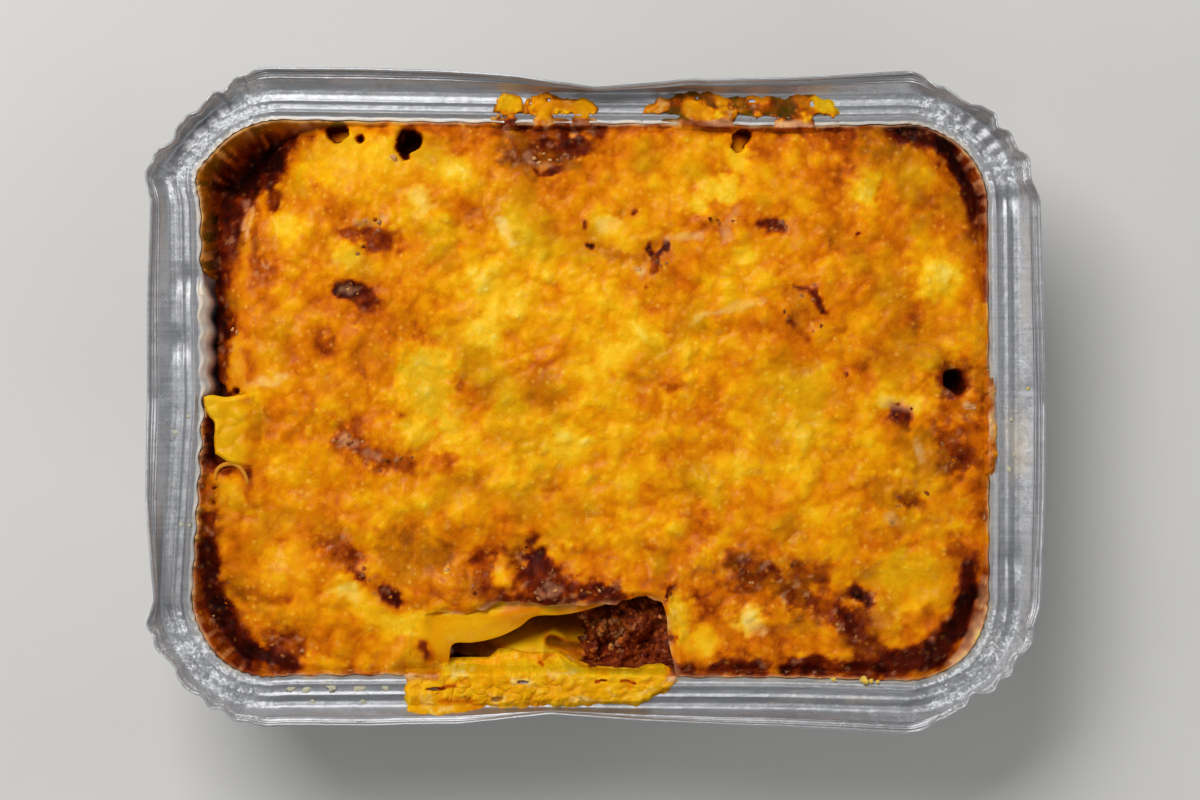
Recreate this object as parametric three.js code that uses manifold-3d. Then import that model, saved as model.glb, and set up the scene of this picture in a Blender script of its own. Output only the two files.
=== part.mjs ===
// A baked lasagne in the aluminium foil tray that it was sold and cooked in.
// Millimetres, +Z up. +X runs along the tray's long side and +Y towards its back.
// The origin is on the table, under the middle of the tray's outer lip.
import * as THREE from "three";
import Module from "manifold-3d";

const wasm = await Module();
wasm.setup();

// Tray: the line of the inner lip, the outline of the floor, and the section of the foil
const OPENING = { halfX: 83.8, halfY: 59.2, radius: 17 };
const FLOOR = { halfX: 73, halfY: 48, radius: 12.5 };
const TRAY_MIDDLE = { x: -0.2, y: -0.4 };
const LEDGE_Z = 36; // table to the flat ledge of the rim
const FOIL = 0.5; // foil pressed and hemmed, drawn thicker than the real 0.1 mm
const LEDGE_WIDTH = 6; // inner lip to the fold of the outer lip
const LIP_LENGTH = 5.2; // fold to hem of the outer lip
const PLEAT_LIFT = 0.4; // height of the pleats in the ledge of a corner
const PLEATS = 2.5; // pleats in a corner

// Stations at equal steps along a side, and round a corner
const SHORT_SIDE_STEPS = 5;
const LONG_SIDE_STEPS = 15;
const CORNER_STEPS = 8;

// The bent rim as it stands, counter-clockwise from the right side's front end. At equal steps along each side,
// and round the corner after it: how far the inner lip lies outside its plain rounded rectangle, and how far the
// outer lip's hem reaches beyond the inner lip in plan. The hem stands up where it reaches least.
const RIM = [
  {
    side: { lip: [0.2, 0.3, 0.2], reach: [9.7, 10.7, 11.1, 10.4] },
    corner: { lip: [-0.1, -0.3, -0.5, -0.6], reach: [10, 8.3, 9, 7.5, 7.8, 7.7, 6.9, 8.1] },
  },
  {
    side: { lip: [-0.2, -0.6, -0.1, 0, 0.4], reach: [10.3, 9.4, 8.8, 7.8, 6.2, 8.9, 9.9, 10.1] },
    corner: { lip: [0.8, 0.8, 1, 1.2, 2.4], reach: [9.9, 10.1, 8.3, 7.6, 7.7, 6.9, 7.4, 9.2] },
  },
  {
    side: { lip: [0.4, 0.1, -0.3, 1], reach: [9.2, 10.4, 11, 9.7] },
    corner: { lip: [2.3, 1.6, 1.4, 0.6], reach: [6.2, 8.9, 7.8, 7.6, 7.2, 7.8, 7.9, 9.3] },
  },
  {
    side: { lip: [-0.5, -0.7, -0.4, -0.2, -0.1], reach: [9.3, 9.7, 9.1, 6.6, 7.9, 8.8, 9.4] },
    corner: { lip: [0.6, 0.3, 0.4, 0.1], reach: [10, 8.3, 6.4, 6.2, 7.6, 7.9, 8.7, 8.9] },
  },
];

// Food: the layers, as heights above the table
const GAP = 0.35; // air between solids that touch in the real dish
const LOWER_SHEET_Z = 23;
const UPPER_SHEET_Z = 31;
const SHEET = 1.3; // thickness of a cooked pasta sheet
const CRUST_Z = 36; // middle height of the cheese near the wall
const CROWN = 1.6; // how much higher the cheese is in the middle of the dish
const LEAST_CRUST = 1.6;
const LEAST_LAYER = 1.2;
const EDGE_TROUGH = 1.1; // the cheese shrinks down beside the wall
const EDGE_TROUGH_WIDTH = 3.5;
const CRUST_CELL = 4.8;
// Grid lines of the layers, closest where the food sinks in the corner, at the bare sheet and at the torn gap
const LAYER_X = [-87, -80, -72, -60, -42, -30, -22, -13, -4, 7, 20, 45, 70, 87];
const LAYER_Y = [-63, -57, -51, -45, -30, -15, -6, 4, 24, 40, 49, 62];
const SKY_Z = 60;

// Places where the whole surface sinks or swells: centre, reach, and change of height
const SWELLS = [
  { x: -78, y: 52, reachX: 15, reachY: 12, rise: -15 }, // sunken back left corner
  { x: -84, y: 24, reachX: 6, reachY: 26, rise: -6 }, // groove beside the left wall
  { x: 82, y: 50, reachX: 8, reachY: 11, rise: -4.5 }, // charred back right corner
  { x: 82, y: -52, reachX: 8, reachY: 12, rise: -6 }, // charred front right corner
  { x: -80, y: -50, reachX: 8, reachY: 12, rise: -5 }, // charred front left corner
  { x: -58, y: 47, reachX: 14, reachY: 9, rise: 2.2 }, // swell in front of the sunken corner
  { x: -16, y: -42, reachX: 20, reachY: 5, rise: 2.2 }, // the sheet lifts over the gap at the front
  { x: 84, y: -6, reachX: 7, reachY: 14, rise: 2.4 }, // cheese that runs over the right lip
  { x: 45, y: 20, reachX: 12, reachY: 10, rise: 1.2 },
  { x: -18, y: 12, reachX: 24, reachY: 16, rise: 1.0 },
  { x: -66, y: -38, reachX: 10, reachY: 8, rise: 1.6 },
  { x: -30, y: -33, reachX: 16, reachY: 5, rise: -1.6 },
  { x: 52, y: -40, reachX: 20, reachY: 6, rise: -1.8 },
];

// Holes beside the wall that go down to the sauce: centre and radius
const PITS = [
  { x: -40.3, y: 54.2, radius: 2.6 },
  { x: -54.6, y: 56.2, radius: 2.0 },
  { x: 30.2, y: 54.8, radius: 2.0 },
  { x: 75.4, y: 4.4, radius: 2.4 },
  { x: -81.4, y: 2.6, radius: 1.9 },
  { x: -80.6, y: -14.6, radius: 2.1 },
];
const PIT_FLOOR_Z = 28;
const PIT_SIDES = 7;

// The bare corner of pasta at the left wall
const TAB = { x: -76, y: -6.4, reachX: 11, reachY: 8.6, rise: 4.6 };

// The torn gap at the front: where the cheese ends, and where the lifted sheet ends
const CRUST_EDGE = [
  [-31, -54.5], [-29, -47.5], [-21.5, -44], [-14, -43.2], [-4, -44.6], [9, -42.8], [15, -44.5],
  [16, -51.5], [13.4, -57.4], [-8, -58.6], [-23, -57.8], [-30, -56.6],
];
const SHEET_EDGE = [
  [-31, -54.5], [-28, -52], [-22, -51.4], [-14, -46.8], [-4, -45.2], [9, -43.2], [14.6, -44.8],
  [15.6, -51.5], [13, -57.4], [-8, -58.6], [-23, -57.8], [-30, -56.6],
];
const GAP_STEPS = 21;
const GAP_MIDDLE_X = -4; // left of this the lower sheet shows in the gap, and right of it the meat
const MEAT_FLOOR_Z = 28.5;
const SHEET_CURL = { x: -13, y: -57, reachX: 11, reachY: 6.5, rise: 9.5 }; // the lower sheet turns up at the front

// Mince that shows in the gap: centre and radius
const MINCE = [
  [-0.6, -48, 3.3], [4.4, -52.6, 3.5], [6.4, -46.8, 3.0], [10.6, -51.6, 3.3], [-1, -54.4, 2.6],
];

// Cheese baked onto the rim: its outline, its thickness over the ledge, and how steeply it climbs the outer lip
const SPILLS = [
  {
    outline: [
      [-40.5, -56.4], [-40.7, -62], [-39.8, -65.8], [-36.4, -66.6], [-31, -66.8], [-27, -66.2], [-24, -65.2],
      [-20, -64.8], [-15, -64.1], [-9, -64.6], [-4, -64.3], [1, -64.8], [6, -64.5], [10, -63.8], [12.4, -62],
      [13.8, -60.2], [16.6, -59], [16.8, -56.8], [12, -56.6], [-8, -57.2], [-26, -56.8],
    ],
    thick: 2.2,
    climb: 1.3,
  },
  {
    outline: [
      [0.9, 61.6], [0, 63.6], [-4, 63.4], [-8.3, 63.2], [-9.6, 64.9], [-14.2, 65], [-15.6, 63.6], [-16.6, 66],
      [-20.4, 65.6], [-20.8, 61.8], [-19.4, 58.6], [-19, 55.5], [-16.6, 55.3], [-15.9, 59.6], [-13.8, 60.4],
      [-12.6, 58.4], [-12.4, 55.3], [-9.4, 55.2], [-9, 59.6], [-6.6, 60.4], [-5.6, 58], [-5.4, 55.2], [-1.2, 55.2],
      [-1, 59.8],
    ],
    thick: 1.7,
    climb: 1.3,
  },
  {
    outline: [
      [51, 61.4], [50.4, 63.9], [46, 65], [40, 65.2], [34, 65.7], [28, 65.2], [22, 65.8], [16.2, 65],
      [14.4, 63], [10.6, 63.2], [10.2, 61.2], [13.6, 60.4], [18, 61], [21.4, 58.6], [21.8, 55.2], [29.4, 55],
      [30.4, 59.4], [33.2, 61], [36, 59.6], [36.4, 55], [46.6, 54.8], [47, 59.4],
    ],
    thick: 1.8,
    climb: 1.3,
  },
  {
    outline: [
      [82, 6.4], [84.6, 6.6], [86.2, 4.6], [86.5, -2], [86.6, -9], [86.3, -14.4], [85, -17], [82.6, -17.2],
      [81, -15], [80.8, 4],
    ],
    thick: 2.1,
    climb: 0,
  },
];
const SPILL_BASE_Z = 35.9; // inside the foil everywhere on the ledge
const SPILL_CELL = 3.4;
const SPILL_STEPS = 1.05; // points of a spill's smooth outline for each point given

const QUARTER = Math.PI / 2;
const middle = new THREE.Vector2(TRAY_MIDDLE.x, TRAY_MIDDLE.y);
const swell = (s, x, y) => s.rise * Math.exp(-(((x - s.x) / s.reachX) ** 2) - ((y - s.y) / s.reachY) ** 2);
const smooth = (t) => {
  const c = THREE.MathUtils.clamp(t, 0, 1);
  return c * c * (3 - 2 * c);
};

// Point and outward normal on a rounded rectangle. Quarter 0 is the right side, then counter-clockwise.
function onOutline(shape, quarter, corner, t) {
  const out = new THREE.Vector2(Math.cos(quarter * QUARTER), Math.sin(quarter * QUARTER));
  const along = new THREE.Vector2(-out.y, out.x);
  const [reachOut, reachAlong] = quarter % 2 ? [shape.halfY, shape.halfX] : [shape.halfX, shape.halfY];
  const point = middle.clone();
  if (!corner) {
    point.addScaledVector(out, reachOut).addScaledVector(along, (2 * t - 1) * (reachAlong - shape.radius));
    return { point, normal: out };
  }
  const angle = (quarter + t) * QUARTER;
  const normal = new THREE.Vector2(Math.cos(angle), Math.sin(angle));
  point.addScaledVector(out, reachOut - shape.radius).addScaledVector(along, reachAlong - shape.radius);
  return { point: point.addScaledVector(normal, shape.radius), normal };
}

// Value at a share t of a row of values at equal steps, which runs on to the next row's first value
function along(row, next, t) {
  const place = t * row.length;
  const i = Math.min(Math.floor(place), row.length - 1);
  return THREE.MathUtils.lerp(row[i], i + 1 < row.length ? row[i + 1] : next[0], place - i);
}

// Every station round the tray: its point on the inner lip, the floor's point below it, and the rim there
function makeStations() {
  const stations = [];
  RIM.forEach(({ side, corner }, q) => {
    const sideSteps = q % 2 ? LONG_SIDE_STEPS : SHORT_SIDE_STEPS;
    const nextSide = RIM[(q + 1) % RIM.length].side;
    for (const [row, next, steps] of [[side, corner, sideSteps], [corner, nextSide, CORNER_STEPS]]) {
      for (let i = 0; i < steps; i++) {
        const t = i / steps;
        const { point, normal } = onOutline(OPENING, q, row === corner, t);
        const floor = onOutline(FLOOR, q, row === corner, t).point;
        const reach = along(row.reach, next.reach, t);
        const lean = Math.acos(THREE.MathUtils.clamp((reach - LEDGE_WIDTH) / LIP_LENGTH, -1, 1));
        const pleat = row === corner ? Math.sin(2 * Math.PI * PLEATS * t) * Math.sin(Math.PI * t) : 0;
        point.addScaledVector(normal, along(row.lip, next.lip, t));
        stations.push({ lip: point, normal, floor, lean, lift: PLEAT_LIFT * pleat });
      }
    }
  });
  return stations;
}

const stations = makeStations();

// The foil's upper face at one station: each point is a place in plan, a step outwards from it, and a height
function foilSection({ lip, floor, lean, lift }) {
  const wall = (rise) => floor.clone().lerp(lip, rise);
  return [
    { at: floor, out: -3, z: FOIL },
    { at: floor, out: -0.7, z: FOIL + 1.5 },
    { at: wall(0.12), out: 0, z: FOIL + 4.6 },
    { at: lip, out: 0, z: LEDGE_Z + 0.2 },
    { at: lip, out: 0.7, z: LEDGE_Z + 0.7 },
    { at: lip, out: 2.0, z: LEDGE_Z - 0.1 + lift },
    { at: lip, out: 3.3, z: LEDGE_Z + 0.6 - lift },
    { at: lip, out: 4.6, z: LEDGE_Z - 0.2 + lift },
    { at: lip, out: LEDGE_WIDTH, z: LEDGE_Z },
    { at: lip, out: LEDGE_WIDTH + LIP_LENGTH * Math.cos(lean), z: LEDGE_Z + LIP_LENGTH * Math.sin(lean) },
  ];
}

// The section moved square to itself: down and outwards by a positive distance, up and inwards by a negative one
function movedSection(station, distance) {
  const section = foilSection(station);
  const flat = section.map((p) => new THREE.Vector2(p.at.clone().sub(station.lip).dot(station.normal) + p.out, p.z));
  return section.map((p, i) => {
    const before = flat[Math.max(i - 1, 0)];
    const after = flat[Math.min(i + 1, flat.length - 1)];
    const tangent = i ? after.clone().sub(before).normalize() : new THREE.Vector2(1, 0);
    const plan = p.at.clone().addScaledVector(station.normal, p.out + tangent.y * distance);
    return new THREE.Vector3(plan.x, plan.y, p.z - tangent.x * distance);
  });
}

// A closed solid from positions and triangles
function solidFrom(positions, triangles) {
  const mesh = new wasm.Mesh({
    numProp: 3,
    vertProperties: new Float32Array(positions.flat()),
    triVerts: new Uint32Array(triangles.flat()),
  });
  return new wasm.Manifold(mesh);
}

// A closed skin over rings of equal length, which run from the top's middle to the bottom's
function loft(rings) {
  const count = rings[0].length;
  const positions = rings.flat().map((p) => [p.x, p.y, p.z]);
  const triangles = [];
  for (let k = 0; k + 1 < rings.length; k++) {
    for (let i = 0; i < count; i++) {
      const next = (i + 1) % count;
      const [a, b, c, d] = [k * count + i, (k + 1) * count + i, (k + 1) * count + next, k * count + next];
      triangles.push([a, b, c], [a, c, d]);
    }
  }
  const last = (rings.length - 1) * count;
  const top = positions.push([middle.x, middle.y, rings[0][0].z]) - 1;
  const bottom = positions.push([middle.x, middle.y, rings[rings.length - 1][0].z]) - 1;
  for (let i = 0; i < count; i++) {
    const next = (i + 1) % count;
    triangles.push([top, i, next], [bottom, last + next, last + i]);
  }
  return solidFrom(positions, triangles);
}

// Turns one profile for each station into rings
const ringsOf = (profiles) => profiles[0].map((_, k) => profiles.map((profile) => profile[k]));

// The foil as a skin between two faces, each moved from the foil's upper face. The lower face leaves out the
// crests of the ledge's ripples.
function foilShell(above, below) {
  const CRESTS = [4, 6];
  const profiles = stations.map((s) => [
    ...movedSection(s, -above),
    ...movedSection(s, below).filter((_, i) => !CRESTS.includes(i)).reverse(),
  ]);
  return loft(ringsOf(profiles));
}

// The space inside the tray, out to the middle of the foil, and straight up from the inner lip
function traySpace() {
  const WALL_POINTS = 4;
  const profiles = stations.map((s) => {
    const inside = movedSection(s, FOIL / 2).slice(0, WALL_POINTS).reverse();
    return [new THREE.Vector3(s.lip.x, s.lip.y, SKY_Z), ...inside];
  });
  return loft(ringsOf(profiles));
}

// Equal grid lines from one place to another
function lines(from, to, cell) {
  const count = Math.ceil((to - from) / cell);
  return Array.from({ length: count + 1 }, (_, i) => from + ((to - from) * i) / count);
}

// A block over the cells between grid lines, with an uneven top and bottom
function block(xs, ys, top, bottom) {
  const columns = xs.length - 1;
  const rows = ys.length - 1;
  const positions = [top, bottom].flatMap((height) => ys.flatMap((y) => xs.map((x) => [x, y, height(x, y)])));
  const triangles = [];
  const index = (i, j) => j * (columns + 1) + i;
  const under = (columns + 1) * (rows + 1);
  for (let j = 0; j < rows; j++) {
    for (let i = 0; i < columns; i++) {
      const [a, b, c, d] = [index(i, j), index(i + 1, j), index(i + 1, j + 1), index(i, j + 1)];
      triangles.push([a, b, c], [a, c, d]);
      triangles.push([under + a, under + c, under + b], [under + a, under + d, under + c]);
    }
  }
  const side = (a, b) => triangles.push([a, under + a, under + b], [a, under + b, b]);
  for (let i = 0; i < columns; i++) {
    side(index(i, 0), index(i + 1, 0));
    side(index(i + 1, rows), index(i, rows));
  }
  for (let j = 0; j < rows; j++) {
    side(index(columns, j), index(columns, j + 1));
    side(index(0, j + 1), index(0, j));
  }
  return solidFrom(positions, triangles);
}

// Distance in plan from the inner lip, inwards
function fromWall(x, y) {
  const qx = Math.abs(x - TRAY_MIDDLE.x) - (OPENING.halfX - OPENING.radius);
  const qy = Math.abs(y - TRAY_MIDDLE.y) - (OPENING.halfY - OPENING.radius);
  const outside = Math.hypot(Math.max(qx, 0), Math.max(qy, 0)) + Math.min(Math.max(qx, qy), 0);
  return OPENING.radius - outside;
}

// Gentle waves of the layers, as sums of sines
function waves(x, y) {
  const wide = 0.55 * Math.sin(x / 11 + 1.3) * Math.cos(y / 9.5 - 0.4);
  return wide + 0.35 * Math.sin((x + 1.4 * y) / 8.5 + 2);
}

// Lumps of melted cheese, as sums of shorter sines
function lumps(x, y) {
  const first = 0.45 * Math.sin(x / 2.6 + 1.1 * Math.sin(y / 5.2)) * Math.sin(y / 2.9 + 0.9 * Math.sin(x / 4.7));
  return first + 0.3 * Math.sin((x - y) / 3.4 + 1.2) * Math.cos((x + y) / 4.1);
}

// The broad height of the food, before its lumps
function foodHeight(x, y) {
  const crown = CROWN * (1 - (x / OPENING.halfX) ** 4) * (1 - (y / OPENING.halfY) ** 4);
  const trough = EDGE_TROUGH * (1 - smooth(fromWall(x, y) / EDGE_TROUGH_WIDTH));
  return CRUST_Z + crown - trough + waves(x, y) + SWELLS.reduce((sum, s) => sum + swell(s, x, y), 0);
}

const crustTop = (x, y) => foodHeight(x, y) + lumps(x, y);

// Upper face of the upper sheet: it follows the food down into the corners and comes up bare at the tab
function upperSheetTop(x, y) {
  const under = foodHeight(x, y) - LEAST_CRUST - 0.9;
  const lift = swell(SWELLS[6], x, y) * 0.9;
  return Math.min(UPPER_SHEET_Z + SHEET + waves(x, y) + lift + swell(TAB, x, y), under + swell(TAB, x, y) * 0.5);
}

const upperSheetUnder = (x, y) => upperSheetTop(x, y) - SHEET;

// Upper face of the lower sheet: it turns up at the front, where the gap shows it
function lowerSheetTop(x, y) {
  const level = LOWER_SHEET_Z + 0.7 * waves(x + 9, y - 4) + swell(SHEET_CURL, x, y);
  return Math.min(level, upperSheetUnder(x, y) - LEAST_LAYER - 2 * GAP);
}

// A straight-sided block over a smooth closed outline
function prism(outline, steps, from) {
  const curve = new THREE.CatmullRomCurve3(outline.map(([x, y]) => new THREE.Vector3(x, y, 0)), true);
  const points = curve.getSpacedPoints(steps).slice(0, -1);
  const shape = new THREE.Shape(points.map((p) => new THREE.Vector2(p.x, p.y)));
  const geometry = new THREE.ExtrudeGeometry(shape, { depth: SKY_Z - from, bevelEnabled: false });
  return fromGeometry(geometry.translate(0, 0, from));
}

// A three.js geometry as a solid, with its doubled vertices merged by place
function fromGeometry(geometry) {
  const source = geometry.index ? geometry.toNonIndexed() : geometry;
  const place = source.getAttribute("position");
  const known = new Map();
  const positions = [];
  const triangles = [];
  for (let i = 0; i < place.count; i += 3) {
    const corners = [0, 1, 2].map((k) => {
      const point = [place.getX(i + k), place.getY(i + k), place.getZ(i + k)];
      const key = point.map((v) => Math.round(v * 1e4)).join();
      if (!known.has(key)) known.set(key, positions.push(point) - 1);
      return known.get(key);
    });
    if (new Set(corners).size === 3) triangles.push(corners);
  }
  return solidFrom(positions, triangles);
}

// Holes through the cheese beside the wall
function pitCutters(from) {
  return PITS.map(({ x, y, radius }) => {
    const cone = new THREE.CylinderGeometry(radius * 1.15, radius * 0.8, SKY_Z - from, PIT_SIDES);
    return fromGeometry(cone.rotateX(QUARTER).translate(x, y, (SKY_Z + from) / 2));
  });
}

// A lump of mince, as a squashed ball with dents
function mincePiece([x, y, radius]) {
  const ball = new THREE.IcosahedronGeometry(radius, 1);
  const place = ball.getAttribute("position");
  const point = new THREE.Vector3();
  for (let i = 0; i < place.count; i++) {
    point.fromBufferAttribute(place, i);
    const dent = 0.14 * Math.sin(1.9 * point.x + x) * Math.cos(1.7 * point.y + y) + 0.1 * Math.sin(2.3 * point.z + x);
    place.setXYZ(i, point.x * (1 + dent), point.y * (0.85 + dent), point.z * (0.8 + dent));
  }
  return fromGeometry(ball.translate(x, y, MEAT_FLOOR_Z));
}

// Cheese that ran over the inner lip, as a slab over the ledge that climbs the outer lip
function spillPatch({ outline, thick, climb }) {
  const xs = outline.map(([x]) => x);
  const ys = outline.map(([, y]) => y);
  const top = (x, y) => {
    const past = Math.max(0, -fromWall(x, y) - LEDGE_WIDTH + 1);
    return LEDGE_Z + thick + climb * past + 0.35 * Math.sin(x / 1.3 + y) * Math.cos(x / 2.9 - y / 1.1);
  };
  const linesX = lines(Math.min(...xs) - 1, Math.max(...xs) + 1, SPILL_CELL);
  const linesY = lines(Math.min(...ys) - 1, Math.max(...ys) + 1, SPILL_CELL);
  const slab = block(linesX, linesY, top, () => SPILL_BASE_Z);
  return slab.intersect(prism(outline, Math.round(outline.length * SPILL_STEPS), 0));
}

// The largest connected piece of a solid, which drops loose scraps
function whole(solid) {
  const pieces = solid.decompose();
  return pieces.reduce((best, piece) => (piece.volume() > best.volume() ? piece : best));
}

// Cuts several solids out of one
const without = (solid, cutters) => cutters.reduce((left, cutter) => left.subtract(cutter), solid);

// A named mesh of a solid in one colour
function mesh(name, solid, color, roughness, metalness = 0) {
  const made = solid.getMesh();
  const geometry = new THREE.BufferGeometry();
  geometry.setAttribute("position", new THREE.BufferAttribute(Float32Array.from(made.vertProperties), 3));
  geometry.setIndex(new THREE.BufferAttribute(Uint32Array.from(made.triVerts), 1));
  geometry.computeVertexNormals();
  const piece = new THREE.Mesh(geometry, new THREE.MeshStandardMaterial({ color, roughness, metalness }));
  piece.name = name;
  return piece;
}

// Everything of the food between two faces, kept clear of the foil
const space = traySpace();
const keepOut = foilShell(GAP, FOIL + GAP);
const layer = (top, bottom) => block(LAYER_X, LAYER_Y, top, bottom).intersect(space).subtract(keepOut);
const raised = (surface) => (x, y) => surface(x, y) + GAP;

function makeLowerLayer() {
  const under = (x, y) => lowerSheetTop(x, y) - SHEET - GAP;
  return whole(layer(under, () => 0));
}

function makeLowerSheet() {
  return whole(layer(lowerSheetTop, (x, y) => lowerSheetTop(x, y) - SHEET));
}

function makeUpperSauce() {
  const under = (x, y) => upperSheetUnder(x, y) - GAP;
  const sauce = layer(under, raised(lowerSheetTop));
  const leftOfGap = block([-OPENING.halfX, GAP_MIDDLE_X], [-OPENING.halfY, 0], () => SKY_Z, () => 0);
  const deep = prism(SHEET_EDGE, GAP_STEPS, LOWER_SHEET_Z - 4).intersect(leftOfGap);
  const shallow = prism(SHEET_EDGE, GAP_STEPS, MEAT_FLOOR_Z);
  const overSheet = block(LAYER_X, LAYER_Y, () => SKY_Z, raised(lowerSheetTop));
  const mince = MINCE.map((lump) => mincePiece(lump).intersect(overSheet).subtract(keepOut));
  return whole(mince.reduce((all, piece) => all.add(piece), without(sauce, [deep, shallow])));
}

function makeUpperSheet() {
  const sheet = layer(upperSheetTop, upperSheetUnder);
  return whole(without(sheet, [prism(SHEET_EDGE, GAP_STEPS, PIT_FLOOR_Z), ...pitCutters(PIT_FLOOR_Z)]));
}

function makeCrust() {
  const above = block(LAYER_X, LAYER_Y, () => SKY_Z, raised(upperSheetTop));
  const [linesX, linesY] = [LAYER_X, LAYER_Y].map((row) => lines(row[0], row[row.length - 1], CRUST_CELL));
  const cheese = block(linesX, linesY, crustTop, () => 0).intersect(space).intersect(above);
  const cut = without(cheese, [prism(CRUST_EDGE, GAP_STEPS, PIT_FLOOR_Z - 8), ...pitCutters(PIT_FLOOR_Z - 8)]);
  const withSpills = SPILLS.map(spillPatch).reduce((all, patch) => all.add(patch), cut);
  return whole(withSpills.subtract(keepOut));
}

const lasagne = new THREE.Group();
lasagne.add(
  mesh("foil_tray", foilShell(0, FOIL), 0xb9bcc0, 0.32, 1),
  mesh("meat_sauce_lower", makeLowerLayer(), 0x4a1608, 0.6),
  mesh("pasta_sheet_lower", makeLowerSheet(), 0xb08a1e, 0.5),
  mesh("meat_sauce_upper", makeUpperSauce(), 0x5c1c0a, 0.55),
  mesh("pasta_sheet_upper", makeUpperSheet(), 0xe3b01c, 0.45),
  mesh("cheese_crust", makeCrust(), 0xe08a0c, 0.42),
);

// The origin goes to the table, under the middle of everything
const box = new THREE.Box3().setFromObject(lasagne);
const centre = box.getCenter(new THREE.Vector3());
lasagne.children.forEach((piece) => piece.geometry.translate(-centre.x, -centre.y, -box.min.z));

export default lasagne;
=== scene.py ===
"""The looks of a baked lasagna in its foil tray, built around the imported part.

Shapes are worked out in millimetres, x to the right, y to the back and z up from the table, and are moved
and scaled to the part's own frame when a mesh is made. Every surface is a grid of two numbers, or a profile
carried round the tray, computed as whole arrays.
"""
import math

import bpy
import numpy as np
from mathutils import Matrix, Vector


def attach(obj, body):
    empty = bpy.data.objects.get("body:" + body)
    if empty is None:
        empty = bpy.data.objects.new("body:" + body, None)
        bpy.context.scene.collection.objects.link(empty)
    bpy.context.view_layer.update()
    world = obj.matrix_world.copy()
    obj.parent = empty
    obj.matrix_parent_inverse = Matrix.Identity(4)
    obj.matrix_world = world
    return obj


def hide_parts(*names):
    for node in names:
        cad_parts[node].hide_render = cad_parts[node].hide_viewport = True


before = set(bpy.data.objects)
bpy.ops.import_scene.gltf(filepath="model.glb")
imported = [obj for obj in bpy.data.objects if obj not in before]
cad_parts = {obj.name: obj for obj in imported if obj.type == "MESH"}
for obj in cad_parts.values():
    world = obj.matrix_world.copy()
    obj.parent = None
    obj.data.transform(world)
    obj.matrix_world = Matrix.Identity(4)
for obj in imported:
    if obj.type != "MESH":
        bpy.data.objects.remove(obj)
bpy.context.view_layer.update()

MM = 0.001
TAU = 2 * math.pi
TO_PART = np.array([-0.015, 0.345, 0.0])  # from the tray's plan to the part's own origin

# The picture's scale: the middle of the tray in it, and millimetres for each of its pixels at the rim
PICTURE_MIDDLE = (596, 399)
PICTURE_SCALE = 0.213

# Tray: the line of the inner lip, the outline of the floor, and the section of the foil
OPENING = {"half_x": 83.8, "half_y": 59.2, "radius": 17}
FLOOR = {"half_x": 73, "half_y": 48, "radius": 12.5}
TRAY_MIDDLE = np.array([-0.2, -0.4])
LEDGE_Z = 36
FOIL = 0.5
WALL_FOOT_SHARE = 0.12
WALL_FOOT_Z = 5.1
LIP_Z = LEDGE_Z + 0.2
LEDGE_WIDTH = 6
LIP_LENGTH = 5.2
FOLD_LENGTH = 0.9

# Columns round the tray: along a long side, a short side and a corner
LONG_COLUMNS = 200
SHORT_COLUMNS = 128
CORNER_COLUMNS = 72
FLUTES = (14, 18, 14, 21)  # wall flutes along the right, back, left and front side
CORNER_PLEATS = 13
FAN_STEP = 2.6  # width of the bright facets at the two back corners
FLUTE_DEPTH = 0.42

# The bent rim, counter-clockwise from the right side's front end: how far the inner lip lies outside its
# rounded rectangle, how far the hem reaches beyond it, and how strong the wall's flutes are, each at equal
# steps along each side and corner
RIM = [
    {
        "side": {"lip": [0.2, 0.3, 0.2], "reach": [9.7, 10.7, 11.1, 10.4], "flute": [0.3, 0.2]},
        "corner": {"lip": [-0.1, -0.3, -0.5, -0.6], "reach": [10, 8.3, 9, 7.5, 7.8, 7.7, 6.9, 8.1],
                   "flute": [0.15, 0.2]},
    },
    {
        "side": {"lip": [-0.2, -0.6, -0.1, 0, 0.4], "reach": [10.3, 9.4, 8.8, 7.8, 6.2, 8.9, 9.9, 10.1],
                 "flute": [0.25, 0.2, 0.3]},
        "corner": {"lip": [0.8, 0.8, 1, 1.2, 2.4], "reach": [9.9, 10.1, 8.3, 7.6, 7.7, 6.9, 7.4, 9.2],
                   "flute": [0.2, 0.2]},
    },
    {
        "side": {"lip": [0.4, 0.1, -0.3, 1], "reach": [9.2, 10.4, 11, 9.7], "flute": [0.3, 1, 1, 0.6]},
        "corner": {"lip": [2.3, 1.6, 1.4, 0.6], "reach": [6.2, 8.9, 7.8, 7.6, 7.2, 7.8, 7.9, 9.3],
                   "flute": [0.3, 0.25]},
    },
    {
        "side": {"lip": [-0.5, -0.7, -0.4, -0.2, -0.1], "reach": [9.3, 9.7, 9.1, 6.6, 7.9, 8.8, 9.4],
                 "flute": [0.4, 0.4, 0.3, 0.3]},
        "corner": {"lip": [0.6, 0.3, 0.4, 0.1], "reach": [10, 8.3, 6.4, 6.2, 7.6, 7.9, 8.7, 8.9],
                   "flute": [0.2, 0.2]},
    },
]

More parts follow.
